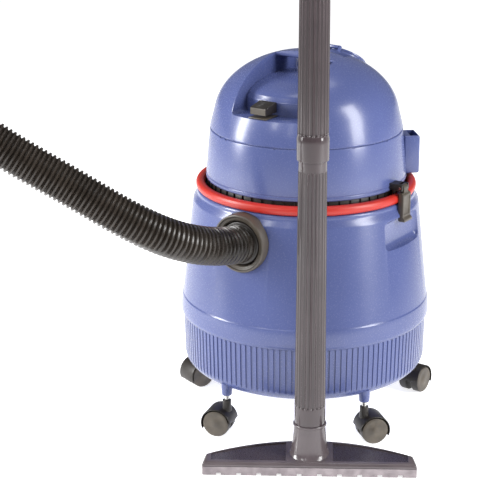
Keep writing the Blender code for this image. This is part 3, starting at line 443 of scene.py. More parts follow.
# Tube of grey ABS, drawn through the mould: glossy, with faint lengthwise lines.
TUBE_GREY = Finish("drawn grey abs tube", "#453B3E", "#3A3134", 0.14, Pattern.DRAWN,
                   grain_mm=0.9, relief=0.03, drift_mm=60.0, coat=0.25)
# Nozzle moulded in the same grey, polished on top.
NOZZLE_GREY = Finish("moulded grey abs", "#5A5154", "#4F474A", 0.22, grain_mm=1.1, relief=0.03,
                     drift_mm=45.0, coat=0.25)
# Recessed panels of the nozzle, darker and smooth.
NOZZLE_DARK = Finish("moulded dark abs panel", "#3D3537", "#352D30", 0.28, grain_mm=1.0,
                     relief=0.03, coat=0.15)
# Skirt of the nozzle that scuffs along the floor: paler and dull.
NOZZLE_SKIRT = Finish("scuffed grey abs skirt", "#9A9094", "#7C7377", 0.44,
                      Pattern.SPARK_ERODED, grain_mm=0.8, relief=0.10, drift_mm=12.0)
# Wound hose of soft black polyethylene with a waxy bloom on its crests.
HOSE_BLACK = Finish("wound black polyethylene", "#352E28", "#28221D", 0.30,
                    Pattern.SPARK_ERODED, grain_mm=1.4, relief=0.06, drift_mm=30.0)
# Worn face of the hose's socket, a little paler than the hose.
FLANGE_GREY = Finish("moulded grey socket", "#4E473F", "#433D36", 0.38, Pattern.SPARK_ERODED,
                     grain_mm=0.9, relief=0.06, drift_mm=20.0)
# Nylon castors, dusty brown grey from use.
CASTOR_NYLON = Finish("worn castor nylon", "#5C5449", "#48423B", 0.44, Pattern.SPARK_ERODED,
                      grain_mm=0.9, relief=0.10, drift_mm=14.0)
CASTOR_DARK = Finish("black castor nylon", "#2B2520", "#221E1B", 0.38, Pattern.SPARK_ERODED,
                     grain_mm=0.8, relief=0.08)
# Zinc-plated steel, turned.
STEEL = Finish("zinc plated turned steel", "#D6D6D2", "#C4C4C0", 0.22, Pattern.BRUSHED,
               grain_mm=0.6, relief=0.03, metallic=1.0)
# Pressed aluminium of the motor.
ALUMINIUM = Finish("pressed aluminium", "#B4B5B8", "#A6A7AA", 0.36, Pattern.BRUSHED,
                   grain_mm=0.7, relief=0.04, metallic=1.0)
# Nitrile rubber seals: dull and even.
RUBBER = Finish("moulded nitrile rubber", "#262424", "#1E1C1C", 0.72, Pattern.SPARK_ERODED,
                grain_mm=0.9, relief=0.10)
# Natural white polypropylene of the cage and fan.
WHITE = Finish("moulded white polypropylene", "#DCDCD6", "#D0D0CA", 0.38, grain_mm=1.0,
               relief=0.02)
# Pleated filter paper: fibrous and matt.
PAPER = Finish("pleated filter paper", "#E2DAC6", "#D2C9B2", 0.90, Pattern.PAPER, grain_mm=0.8,
               relief=0.22, drift_mm=18.0, sheen=0.2)


# ------------------------------------------------------------------ tank


@dataclass
class Tank:
    """Tapered tank with a grooved skirt, finger scoops and castor sockets, and its rim ring."""

    wall: float = 0.003
    rib_count: int = 132
    groove_share: float = 0.30
    groove_depth: float = 0.0014
    scoop_face: float = 0.1572
    scoop_half: float = 0.048
    scoop_low: float = 0.214
    scoop_high: float = 0.257
    slot_half: float = 0.012
    outer: Outline = field(default_factory=lambda: [
        (0.0, 0.0), (0.1502, 0.0), (0.1600, 0.0015), (0.1662, 0.0040), (0.1710, 0.0070),
        (0.1746, 0.0108), (0.1768, 0.0140), (0.1782, 0.0165), (0.1797, 0.0220), (0.1812, 0.0790),
        (0.1812, 0.0832), (0.1824, 0.0850), (0.1843, 0.0875), (0.1850, 0.0905), (0.1850, 0.0968),
        (0.1842, 0.1060), (0.1830, 0.1135), (0.1822, 0.1146), (0.1818, 0.1158),
        (0.1660, 0.2575), (0.1652, 0.2605), (0.1610, 0.2660), (0.1598, 0.2690),
        (0.1600, 0.2715), (0.1590, 0.2738), (0.1568, 0.2745),
    ])
    inner: Outline = field(default_factory=lambda: [
        (0.1500, 0.2745), (0.1500, 0.2712), (0.1405, 0.2712), (0.1405, 0.2682),
        (0.1560, 0.2660), (0.1625, 0.2570), (0.1786, 0.1146), (0.1812, 0.1100),
        (0.1818, 0.0960), (0.1780, 0.0850), (0.1776, 0.0780), (0.1764, 0.0220),
        (0.1715, 0.0120), (0.1640, 0.0060), (0.1502, 0.0030), (0.0, 0.0030),
    ])

    def build(self) -> None:
        """Makes the tank and its ring."""
        self.shell()
        self.ring()

    def grooved(self, shell: Piece) -> None:
        """Sinks the grooves between the skirt's ribs."""
        pitch = math.tau / self.rib_count
        marks = (0.0, 1.0 - self.groove_share - 0.06, 1.0 - self.groove_share, 0.94)
        for vertex in shell.data.vertices:
            x, y, z = vertex.co
            radius = math.hypot(x, y)
            outside = radius > 0.1765 + 0.04 * max(0.0, z - 0.018)
            if not 0.0135 < z < 0.0836 or not outside:
                continue
            column = round(math.atan2(y, x) / (pitch / 4))
            angle = (column // 4 + marks[column % 4]) * pitch
            fade = min(1.0, max(0.0, (z - 0.0145) / 0.006))
            sink = self.groove_depth * fade if column % 4 >= 2 else 0.0
            vertex.co = ((radius - sink) * math.cos(angle), (radius - sink) * math.sin(angle), z)

    def shell(self) -> Piece:
        """The tank itself: turned, grooved, then cut."""
        section = rounded(self.outer + self.inner, 0.0012, 2, 25.0)
        shell = turned("tank", section, self.rib_count * 4)
        tools = []
        for side in (1, -1):
            near, far = sorted((side * self.scoop_face, side * 0.21))
            scoop = block(
                "scoop", (near, -self.scoop_half, self.scoop_low),
                (far, self.scoop_half, self.scoop_high), 0.009, 5,
            )
            near, far = sorted((side * (self.scoop_face - self.wall), side * 0.1875))
            back = block(
                "scoop_back", (near, -self.scoop_half - self.wall, self.scoop_low - self.wall),
                (far, self.scoop_half + self.wall, self.scoop_high + self.wall), 0.010, 4,
            )
            limit = turned(
                "limit", [(0.0, 0.15), (0.1765, 0.15), (0.1645, 0.2600), (0.0, 0.2600)], 90
            )
            fused(shell, combine(back, limit, operation="INTERSECT"))
            near, far = sorted((side * 0.1617, side * 0.19))
            slot_back = block(
                "slot_back", (min(near, near - side * self.wall), -0.0155, 0.2555),
                (max(side * 0.1638, near), 0.0155, 0.2735), 0.001, 1,
            ) if side > 0 else block(
                "slot_back", (-0.1638, -0.0155, 0.2555), (-0.1587, 0.0155, 0.2735), 0.001, 1
            )
            limit = turned(
                "limit", [(0.0, 0.24), (0.1652, 0.24), (0.1635, 0.2592), (0.1584, 0.2688),
                          (0.1584, 0.2730), (0.0, 0.2730)], 90,
            )
            fused(shell, combine(slot_back, limit, operation="INTERSECT"))
            slot = block(
                "slot", (near, -self.slot_half, 0.2505), (far, self.slot_half, 0.29), 0.001, 1
            )
            tools += [scoop, slot]
        inlet = moved(
            rod("inlet_hole", 0.0423, 0.12, 0.21, 0.0, 64),
            aimed((0, -1, 0), (0, 0, INLET_HEIGHT)),
        )
        combine(shell, *tools, inlet)
        for angle in CASTOR_ANGLES:
            socket = turned(
                "socket",
                [(0.0044, -0.006), (0.0066, -0.006), (0.0074, -0.0052), (0.0080, 0.004),
                 (0.0080, 0.0125), (0.0, 0.0125), (0.0, 0.0088), (0.0044, 0.0088)], 32,
            )
            fused(shell, moved(socket, Matrix.Translation(around(angle, 0.170, 0.0))))
        softened(shell, 0.0007, 2, 40.0)
        self.grooved(shell)
        return dress(shell, "tank", BLUE.material(), nodes=["tank_shell"])

    def ring(self) -> Piece:
        """Soft trim ring: flattened at its sides, with a slight crown."""
        section = [
            (0.1548 + 0.00675 * math.copysign(abs(math.cos(a)) ** 0.8, math.cos(a)),
             0.28155 + 0.00675 * math.copysign(abs(math.sin(a)) ** 0.9, math.sin(a)))
            for a in (math.tau * k / 28 for k in range(28))
        ]
        ring = turned("rim_trim", section, 160)
        return dress(ring, "tank", RED.material(), nodes=["rim_ring"])


# ------------------------------------------------------------------ hose and its inlet


@dataclass
class Inlet:
    """Socket in the tank's front with the hose's swivelling sleeve inside it."""

    face: float = 0.1775
    radius: float = 0.042
    bore: float = 0.0325

    def build(self) -> None:
        """Makes the socket and the sleeve."""
        place = aimed((0, -1, 0), (0, 0, INLET_HEIGHT))
        section = [
            (self.bore, 0.1500), (self.radius, 0.1500), (self.radius, self.face - 0.0010),
            (self.radius - 0.0012, self.face), (self.radius - 0.0030, self.face),
            (self.radius - 0.0036, self.face - 0.0018), (self.bore + 0.0016, self.face - 0.0026),
            (self.bore, self.face - 0.0045),
        ]
        socket = moved(turned("hose_socket", rounded(section, 0.0006, 2), 96), place)
        dress(socket, "tank", FLANGE_GREY.material(), nodes=["inlet_port"])
        sleeve = [
            (0.0215, 0.1520), (0.0320, 0.1520), (0.0320, 0.1700), (0.0300, 0.1735),
            (0.0215, 0.1735),
        ]
        piece = moved(turned("hose_sleeve", rounded(sleeve, 0.0008, 2), 64), place)
        dress(piece, "inlet_cuff", BLACK.material(), nodes=["inlet_cuff"])


@dataclass
class Hose:
    """Wound suction hose from the tank's socket up and over to the hand grip."""

    diameter: float = 0.054
    valley: float = 0.0036
    pitch: float = 0.0068
    sides: int = 36
    rings_per_rib: int = 6
    start: Vector = field(default_factory=lambda: Vector((0, -0.1738, INLET_HEIGHT)))
    route: Sequence[tuple[float, float, float]] = (
        (0.0, -0.1795, 0.2314), (-0.0013, -0.1913, 0.233), (-0.0147, -0.2472, 0.2457),
        (-0.0409, -0.2954, 0.2672), (-0.0776, -0.3317, 0.2956), (-0.1366, -0.3736, 0.3403),
        (-0.1955, -0.4155, 0.385), (-0.2849, -0.4781, 0.4722), (-0.3457, -0.5191, 0.5713),
        (-0.3796, -0.5402, 0.6754), (-0.3885, -0.5432, 0.7776), (-0.374, -0.5301, 0.8712),
        (-0.3381, -0.5027, 0.9494), (-0.2825, -0.4628, 1.0053), (-0.209, -0.4122, 1.0322),
        (-0.1194, -0.3529, 1.0232), (-0.0154, -0.2867, 0.9716),
    )

    def centre_line(self) -> np.ndarray:
        """Points along the middle of the hose, at equal distances of a third of a millimetre."""
        way = Vector((math.sin(GRIP_BEND) * math.cos(WAND_TURN),
                      math.sin(GRIP_BEND) * math.sin(WAND_TURN), -math.cos(GRIP_BEND)))
        end = Grip().hose_end()
        first = self.start + Vector((0, -0.006, 0))
        last = end - way * 0.006
        moves = first - Vector(self.route[0]), last - Vector(self.route[-1])
        most = len(self.route) - 1
        route = np.array([
            Vector(point) + moves[0] * (1 - k / most) + moves[1] * (k / most)
            for k, point in enumerate(self.route)
        ])
        spans = np.linalg.norm(np.diff(route, axis=0), axis=1)
        at = np.concatenate(([0.0], np.cumsum(spans)))
        size = len(route)
        system, wanted = np.zeros((size, size)), np.zeros((size, 3))
        system[0, 0] = system[-1, -1] = 1.0
        wanted[0] = (route[1] - route[0]) / spans[0]
        wanted[-1] = way
        for k in range(1, size - 1):
            before, after = spans[k - 1], spans[k]
            system[k, k - 1 : k + 2] = after, 2 * (before + after), before
            wanted[k] = 3 * (after * (route[k] - route[k - 1]) / before
                             + before * (route[k + 1] - route[k]) / after)
        ways = np.linalg.solve(system, wanted)
        found = [np.array(self.start)]
        for place in np.linspace(0.0, at[-1], 900):
            k = min(int(np.searchsorted(at, place, side="right")) - 1, size - 2)
            share, span = (place - at[k]) / spans[k], spans[k]
            found.append(
                (2 * share**3 - 3 * share**2 + 1) * route[k]
                + (share**3 - 2 * share**2 + share) * span * ways[k]
                + (3 * share**2 - 2 * share**3) * route[k + 1]
                + (share**3 - share**2) * span * ways[k + 1]
            )
        found.append(np.array(end))
        line = np.array(found)
        steps = np.concatenate(([0.0], np.cumsum(np.linalg.norm(np.diff(line, axis=0), axis=1))))
        even = np.linspace(0.0, steps[-1], int(steps[-1] / 0.0003))
        return np.stack([np.interp(even, steps, line[:, k]) for k in range(3)], axis=1)

    def build(self) -> None:
        line = self.centre_line()
        step = float(np.linalg.norm(line[1] - line[0]))
        length = step * (len(line) - 1)
        ribs = int(length / self.pitch)
        rings = ribs * self.rings_per_rib
        wave = (0.0, 0.35, 1.0, 1.0, 1.0, 0.35)
        points, side = [], Vector((1, 0, 0))
        for ring in range(rings + 1):
            here = min(int(round(ring / rings * (len(line) - 1))), len(line) - 1)
            before, after = line[max(here - 12, 0)], line[min(here + 12, len(line) - 1)]
            way = Vector(after - before).normalized()
            if ring == 0:
                way = Vector((0, -1, 0))
            side = (side - way * side.dot(way)).normalized()
            other = way.cross(side)
            crest = 1.0 if ring in (0, rings) else wave[ring % self.rings_per_rib]
            radius = self.diameter / 2 - self.valley * (1.0 - crest)
            centre = Vector(line[here])
            points += [
                centre + radius * (math.cos(a) * side + math.sin(a) * other)
                for a in (math.tau * k / self.sides for k in range(self.sides))
            ]
        faces = [
            (r * self.sides + k, r * self.sides + (k + 1) % self.sides,
             (r + 1) * self.sides + (k + 1) % self.sides, (r + 1) * self.sides + k)
            for r in range(rings) for k in range(self.sides)
        ]
        last = rings * self.sides
        faces.append(tuple(range(self.sides))[::-1])
        faces.append(tuple(last + k for k in range(self.sides)))
        mesh = bpy.data.meshes.new("suction_hose")
        mesh.from_pydata([tuple(p) for p in points], [], faces)
        hose = bpy.data.objects.new("suction_hose", mesh)
        bpy.context.scene.collection.objects.link(hose)
        pick(hose)
        bpy.ops.object.mode_set(mode="EDIT")
        bpy.ops.mesh.select_all(action="SELECT")
        bpy.ops.mesh.normals_make_consistent(inside=False)
        bpy.ops.object.mode_set(mode="OBJECT")
        mesh.materials.append(HOSE_BLACK.material())
        bpy.ops.object.shade_smooth_by_angle(angle=math.radians(60))
        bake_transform(hose)
        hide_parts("hose")
        path = [tuple(float(c) for c in point) for point in line[:: max(1, len(line) // 160)]]
        path.append(tuple(float(c) for c in line[-1]))
        log.info("the hose is %.3f m long with %d ribs", length, ribs)


# ------------------------------------------------------------------ motor head


@dataclass
class MotorHead:
    """Housing band, black tray below it, the tool holders and the cord's grommet."""

    bottom: float = 0.2920
    top: float = 0.3650
    radius: float = 0.1468
    seam: float = 0.1405
    wall: float = 0.003
    fin_count: int = 56

    def build(self) -> None:
        """Makes every piece of the middle of the head."""
        self.housing()
        self.tray()
        self.holder("tool_rest_right", math.radians(132.0), "tool_holder_right")
        self.holder("tool_rest_left", math.radians(-132.0), "tool_holder_left")
        self.grommet()

    def housing(self) -> Piece:
        """Middle band, with a fine bead at its foot and small notches in the seam above it."""
        section = [
            (self.radius - self.wall, self.bottom), (self.radius - 0.0006, self.bottom),
            (self.radius, self.bottom + 0.0012), (self.radius - 0.0002, self.bottom + 0.0050),
            (self.radius - 0.0008, self.bottom + 0.0054),
            (self.radius - 0.0008, self.bottom + 0.0064),
            (self.radius - 0.0004, self.bottom + 0.0070), (self.seam, self.top - 0.0012),
            (self.seam - 0.0010, self.top), (self.seam - self.wall, self.top),
        ]
        band = turned("housing_band", rounded(section, 0.0006, 2), 192)
        notches = []
        for degrees in (-64.0, -28.0, -22.0, 14.0, 60.0, 86.0, 118.0, 180.0, 230.0):
            notch = block("notch", (-0.0022, -0.1420, self.top - 0.0016),
                          (0.0022, -0.1390, self.top + 0.001), 0.0)
            notches.append(moved(notch, turned_about(math.radians(degrees))))
        hole = moved(rod("cord_hole", 0.0083, 0.12, 0.16, 0.0), aimed((0, 1, 0), (0, 0, 0.315)))
        combine(band, joined("notches", notches), hole)
        return dress(band, "head", BLUE.material(), nodes=["head_housing"])

    def tray(self) -> Piece:
        """Black tray with the small fins that show in the gap above the ring."""
        section = [
            (0.0155, 0.2758), (0.1455, 0.2758), (0.1455, 0.2770), (0.1432, 0.2785),
            (0.1432, 0.2915), (0.1415, 0.2917), (0.1415, 0.2785), (0.0155, 0.2785),
        ]
        tray = turned("motor_tray", rounded(section, 0.0005, 2), 128)
        fin = block("fin", (-0.0007, -0.1453, 0.2782), (0.0007, -0.1425, 0.2908), 0.0003, 1)
        fins = [copied(fin, "fin", turned_about(math.tau * k / self.fin_count))
                for k in range(self.fin_count)]
        bpy.data.objects.remove(fin)
        whole = joined("motor_tray", [tray, *fins])
        return dress(whole, "head", BLACK.material(), nodes=["head_base"])

    def holder(self, name: str, angle: float, node: str) -> Piece:
        """Open-topped rest for a tool, with a ribbed upper edge."""
        holder = block(name, (-0.020, -0.1658, 0.2925), (0.020, -0.1420, 0.3490), 0.0028, 3)
        pocket = block("pocket", (-0.0165, -0.1630, 0.2985), (0.0165, -0.1520, 0.3600), 0.0015)
        grooves = [
            block("rib", (x - 0.0008, -0.1675, 0.3440), (x + 0.0008, -0.1636, 0.3520), 0.0)
            for x in (-0.0144 + 0.0036 * k for k in range(9))
        ]
        inside = turned(
            "inside", [(0.0, 0.28), (self.radius + 0.0009, 0.28), (self.radius + 0.0004, 0.2918),
                       (self.seam + 0.0003, self.top + 0.001), (0.0, self.top + 0.001)], 128,
        )
        combine(holder, pocket, joined("grooves", grooves), moved(inside, turned_about(-angle)))
        softened(holder, 0.0004, 1, 50.0)
        return dress(moved(holder, turned_about(angle)), "head", BLUE.material(), nodes=[node])

    def grommet(self) -> Piece:
        """Cord grommet at the back, with its short ribbed sleeve."""
        wall = 0.1448
        section = [
            (0.0042, wall - 0.010), (0.0080, wall - 0.010), (0.0080, wall + 0.0015),
            (0.0115, wall + 0.0015), (0.0115, wall + 0.0050), (0.0082, wall + 0.0058),
            (0.0080, wall + 0.0075), (0.0068, wall + 0.0080), (0.0068, wall + 0.0092),
            (0.0077, wall + 0.0097), (0.0074, wall + 0.0112), (0.0064, wall + 0.0117),
            (0.0064, wall + 0.0129), (0.0071, wall + 0.0134), (0.0066, wall + 0.0175),
            (0.0042, wall + 0.0178),
        ]
        grommet = moved(turned("cord_gland", rounded(section, 0.0004, 2), 48),
                        aimed((0, 1, 0), (0, 0, 0.315)))
        return dress(grommet, "head", RUBBER.material(), nodes=["cord_grommet"])


@dataclass
class Cover:
    """Domed cover with its grip well, the carrying strap, the switch and the blower cap."""

    seam_radius: float = 0.1405
    bottom: float = 0.3653
    crease: float = 0.4020
    dome_centre: float = 0.3830
    dome_radius: float = 0.1345
    dome_rise: float = 0.0935
    wall: float = 0.003
    well_half: float = 0.047
    well_back: float = 0.048
    ledge: float = 0.4005
    strap_front: float = -0.0115
    strap_back: float = 0.0225
    strap_under: float = 0.4655
    bulge_radius: float = 0.098

    def dome(self, inset: float, bottom: float, steps: int = 28) -> Outline:
        """Section of the cover, or of the hollow inside it."""
        start = math.asin((self.crease - self.dome_centre) / self.dome_rise)
        points = [(0.0, bottom), (self.seam_radius - inset, bottom)]
        if not inset:
            points = [
                (0.0, bottom), (self.seam_radius - 0.0012, bottom),
                (self.seam_radius - 0.0012, bottom + 0.0010), (self.seam_radius, bottom + 0.0016),
            ]
        for k in range(steps):
            angle = start + (math.pi / 2 - start) * k / steps
            points.append(((self.dome_radius - inset) * math.cos(angle),
                           self.dome_centre + (self.dome_rise - inset) * math.sin(angle)))
        points.append((0.0, self.dome_centre + self.dome_rise - inset))
        return points

    def bulge(self, inset: float, bottom: float, steps: int = 14) -> Outline:
        """Section of the raised motor dome in the well."""
        lip = self.ledge + 0.0210 - inset
        radius = self.bulge_radius - inset
        points = [(0.0, bottom), (radius + 0.0012, bottom), (radius, lip - 0.0045),
                  (radius - 0.0002, lip - 0.0018), (radius - 0.0016, lip)]
        for k in range(1, steps):
            angle = math.radians(6) + math.radians(84) * k / steps
            points.append((radius * math.cos(angle) - 0.002, lip + 0.0235 * math.sin(angle)))
        return points + [(0.0, lip + 0.0235)]

    def flared(self, cutter: Piece) -> Piece:
        """Widens a cutter of the well towards its front, on the side of the wand."""
        for vertex in cutter.data.vertices:
            if vertex.co.x > 0:
                vertex.co.x += 0.14 * max(0.0, self.strap_front - vertex.co.y)
        return cutter

    def outlet(self) -> Matrix:
        """Matrix of the blower outlet: Z is its outward way and X points down the slope."""
        angle, radius = math.radians(176.0), 0.094
        height = self.dome_centre + self.dome_rise * math.sqrt(1 - (radius / self.dome_radius) ** 2)
        normal = around(angle, radius / self.dome_radius**2,
                        (height - self.dome_centre) / self.dome_rise**2).normalized()
        level = Vector((0, 0, 1)).cross(normal).normalized()
        down = level.cross(normal).normalized()
        frame = Matrix((down, level, normal)).transposed()
        if frame.determinant() < 0:
            frame = Matrix((down, -level, normal)).transposed()
        return Matrix.Translation(around(angle, radius, height)) @ frame.to_4x4()

    def build(self) -> None:
        """Makes the cover and what is on it."""
        self.shell()
        self.switch()
        self.blower_cap()

    def shell(self) -> Piece:
        """The cover: a turned dome, hollowed, with the well cut and the strap left over it."""
        shell = turned("cover_dome", rounded(self.dome(0.0, self.bottom), 0.0022, 3, 9.0), 192)
        hollow = turned("hollow", self.dome(self.wall, self.bottom - 0.002), 128)
        backing = self.flared(block(
            "backing", (-self.well_half - self.wall, -0.16, self.ledge - self.wall),
            (self.well_half + self.wall, self.well_back + self.wall, 0.50), 0.0,
        ))
        combine(hollow, backing)
        combine(shell, hollow)
        combine(shell, turned("bulge_hollow", self.bulge(self.wall, self.bottom - 0.002), 96))
        well = self.flared(block("well", (-self.well_half, -0.17, self.ledge),
                                 (self.well_half, self.well_back, 0.52), 0.0045, 4))
        bulge = turned("bulge", rounded(self.bulge(0.0, self.ledge - 0.02), 0.001, 2, 20.0), 128)
        strap = block(
            "strap", (-self.well_half - 0.02, self.strap_front, self.strap_under),
            (self.well_half + 0.02, self.strap_back, 0.55), 0.0030, 4,
        )
        combine(well, bulge, strap)
        combine(shell, well)
        outlet = self.outlet()
        boss = moved(rod("boss", 0.0330, -0.014, -0.0005, 0.0006, 64), outlet)
        ears = [
            moved(block("ear", (-0.0375, way * 0.0110 - 0.0015, -0.0140),
                        (-0.0320, way * 0.0110 + 0.0015, 0.0045), 0.0006, 1), outlet)
            for way in (1, -1)
        ]
        fused(shell, boss, *ears)
        combine(shell, moved(rod("bore", 0.0245, -0.05, 0.02, 0.0, 64), outlet))
        softened(shell, 0.0011, 2, 38.0)
        return dress(shell, "head", BLUE.material(), nodes=["head_cover"], angle=38.0)

    def switch(self) -> None:
        """Rocker with a ribbed top, in its shallow frame."""
        frame = block("switch_surround", (-0.0145, -0.1300, self.ledge + 0.0003),
                      (0.0145, -0.0990, self.ledge + 0.0022), 0.0006)
        dress(frame, "head", FLANGE_GREY.material(), nodes=["switch_frame"])
        outline = [(-0.1278, 0.0060), (-0.0995, 0.0060), (-0.0995, 0.0203), (-0.1050, 0.0215),
                   (-0.1262, 0.0168), (-0.1278, 0.0150)]
        rocker = prism("switch_rocker", outline, -0.0128, 0.0128)
        turn = Matrix(((0, 0, 1, 0), (1, 0, 0, 0), (0, 1, 0, self.ledge), (0, 0, 0, 1)))
        moved(rocker, turn)
        grooves = [
            block("groove", (-0.02, y - 0.0008, self.ledge + 0.0215 + (y + 0.105) * 0.222 - 0.0012),
                  (0.02, y + 0.0008, self.ledge + 0.030), 0.0)
            for y in (-0.1235 + 0.0036 * k for k in range(6))
        ]
        combine(rocker, joined("grooves", grooves))
        softened(rocker, 0.0004, 1, 30.0)
        for polygon in rocker.data.polygons:
            polygon.material_index = 1 if polygon.normal.y < -0.8 and polygon.center.y < -0.127 else 0
        dress(rocker, "power_rocker", BLACK.material(), FLANGE_GREY.material(),
              nodes=["power_switch"])

    def blower_cap(self) -> Piece:
        """Round cap on its hinge, with a finger tab on the lower side."""
        hinge = self.outlet() @ Matrix.Translation((-0.035, 0, 0.0023))
        section = [
            (0.0, -0.0025), (0.0325, -0.0025), (0.0330, -0.0012), (0.0327, 0.0002),
            (0.0314, 0.0010), (0.0300, 0.0008), (0.0292, 0.0012), (0.0200, 0.0021),
            (0.0110, 0.0025), (0.0, 0.0026),
        ]
        cap = moved(turned("blower_lid", section, 96), Matrix.Translation((0.035, 0, 0)))
        tab = block("tab", (0.0645, -0.0080, -0.0022), (0.0725, 0.0080, 0.0008), 0.0010)
        knuckle = moved(rod("knuckle", 0.0026, -0.0092, 0.0092, 0.0004, 24), aimed((0, 1, 0)))
        bridge = block("bridge", (0, -0.0090, -0.0022), (0.0060, 0.0090, 0.0010), 0.0003, 1)
        fused(cap, tab, knuckle, bridge)
        return dress(moved(cap, hinge), "blower_cap", BLUE.material(), nodes=["blower_cap"])


@dataclass
class Latch:
    """Over-centre clamp that holds the head down on one side."""

    side: int = 1
    face: float = 0.1622
    thick: float = 0.0073
    pin_x: float = 0.1632
    pin_z: float = 0.2985
    half: float = 0.011

    def build(self) -> None:
        """Makes the lever, its hub and the bracket."""
        name = "right" if self.side > 0 else "left"
        turn = turned_about(0.0 if self.side > 0 else math.pi)
        low, top = 0.2500, self.pin_z - 0.0070
        outline = [
            (self.face, low + 0.0010), (self.face + 0.0010, low),
            (self.face + self.thick + 0.0030, low), (self.face + self.thick + 0.0030, low + 0.0030),
            (self.face + self.thick, low + 0.0065), (self.face + self.thick, top - 0.0030),
            (self.face + self.thick - 0.0022, top), (self.face, top),
        ]
        lever = prism("lever", outline, -self.half, self.half)
        moved(lever, Matrix(((1, 0, 0, 0), (0, 0, -1, 0), (0, 1, 0, 0), (0, 0, 0, 1))))
        arm = block("arm", (self.pin_x - 0.0010, -0.0058, self.pin_z - 0.0095),
                    (self.pin_x + 0.0046, 0.0058, self.pin_z), 0.0)
        hub = moved(rod("hub", 0.0046, -0.0058, 0.0058, 0.0005, 32),
                    aimed((0, 1, 0), (self.pin_x, 0, self.pin_z)))
        fused(lever, arm, hub)
        hole = moved(rod("hole", 0.0023, -0.03, 0.03, 0.0, 24),
                     aimed((0, 1, 0), (self.pin_x, 0, self.pin_z)))
        hollow = block("dish", (self.face + self.thick - 0.0007, -self.half + 0.0030, low + 0.0095),
                       (self.face + self.thick + 0.01, self.half - 0.0030, top - 0.0055), 0.0)
        combine(lever, hole, hollow)
        softened(lever, 0.0006, 2, 35.0)
        lever.name = f"clamp_lever_{name}"
        dress(moved(lever, turn), f"latch_{name}", FLANGE_GREY.material(),
              nodes=[f"latch_{name}_lever"])
        bracket = block("bracket", (0.1405, -0.0100, self.pin_z - 0.0045),
                        (self.pin_x + 0.0034, 0.0100, self.pin_z + 0.0050), 0.0008)
        gap = block("gap", (self.pin_x - 0.0056, -0.0062, 0.28), (0.19, 0.0062, 0.32), 0.0)
        inside = turned("inside", [(0.0, 0.28), (0.1471, 0.28), (0.1471, 0.2920),
                                   (0.1408, 0.3650), (0.0, 0.3650)], 128)
        hole = moved(rod("hole", 0.0023, -0.03, 0.03, 0.0, 24),
                     aimed((0, 1, 0), (self.pin_x, 0, self.pin_z)))
        combine(bracket, gap, inside, hole)
        bracket.name = f"clamp_bracket_{name}"
        dress(moved(bracket, turn), "head", BLACK.material(), nodes=[f"latch_{name}_bracket"])


# ------------------------------------------------------------------ castors


@dataclass
class Castor:
    """Hooded twin-wheel castor. Its own +X is the way that it trails."""

    index: int = 0
    wheel: float = 0.020
    trail: float = 0.012
    axle: float = -0.048
    hood: float = 0.0228

    def place(self) -> Matrix:
        """Matrix from the castor's frame to the object's frame."""
        spot = around(CASTOR_ANGLES[self.index], 0.170, 0.0)
        return Matrix.Translation(spot) @ turned_about(CASTOR_TRAILS[self.index])

    def build(self) -> None:
        """Makes the hood and the pair of wheels."""
        number = self.index + 1
        centre = (self.trail, 0, self.axle)
        section = [
            (0.0035, -0.0042), (0.0212, -0.0042), (0.0212, -0.0172), (0.0218, -0.0180),
            (self.hood, -0.0170), (self.hood, 0.0170), (0.0218, 0.0180), (0.0212, 0.0172),
            (0.0212, 0.0042), (0.0035, 0.0042),
        ]
        hood = moved(turned("hood", rounded(section, 0.0009, 2), 64), aimed((0, 1, 0), centre))
        neck = turned("neck", rounded([(0.0, -0.0310), (0.0075, -0.0310), (0.0062, -0.0220),
                                       (0.0062, -0.0135), (0.0, -0.0135)], 0.0008, 2), 32)
        room = moved(turned("room", [(0.0, -0.0195), (0.0212, -0.0195), (0.0212, -0.0042),
                                     (0.0035, -0.0042), (0.0035, 0.0042), (0.0212, 0.0042),
                                     (0.0212, 0.0195), (0.0, 0.0195)], 64),
                     aimed((0, 1, 0), centre))
        combine(neck, room)
        fused(hood, neck)
        below = block("below", (-0.05, -0.03, -0.09), (0.08, 0.03, self.axle - 0.0035), 0.0)
        tilt = (Matrix.Translation(centre) @ Matrix.Rotation(math.radians(14), 4, "Y")
                @ Matrix.Translation(-Vector(centre)))
        combine(hood, moved(below, tilt))
        softened(hood, 0.0005, 2, 38.0)
        hood.name = f"castor_hood_{number}"
        dress(moved(hood, self.place()), f"castor_{number}", CASTOR_DARK.material(),
              nodes=[f"castor_housing_{number}"])
        section = [
            (0.0, -0.0178), (0.0050, -0.0178), (0.0058, -0.0173), (0.0150, -0.0173),
            (0.0168, -0.0175), (0.0192, -0.0165), (self.wheel, -0.0148), (self.wheel, -0.0055),
            (0.0190, -0.0045), (0.0030, -0.0045), (0.0030, 0.0045), (0.0190, 0.0045),
            (self.wheel, 0.0055), (self.wheel, 0.0148), (0.0192, 0.0165), (0.0168, 0.0175),
            (0.0150, 0.0173), (0.0058, 0.0173), (0.0050, 0.0178), (0.0, 0.0178),
        ]
        wheels = moved(turned(f"castor_wheel_pair_{number}", section, 64),
                       aimed((0, 1, 0), centre))
        for polygon in wheels.data.polygons:
            reach = math.hypot(polygon.center.x - self.trail, polygon.center.z - self.axle)
            polygon.material_index = 0 if reach < 0.0186 and abs(polygon.center.y) > 0.012 else 1
        dress(moved(wheels, self.place()), f"wheels_{number}", CASTOR_NYLON.material(),
              CASTOR_DARK.material(), nodes=[f"castor_wheels_{number}"])


# ------------------------------------------------------------------ wand and nozzle


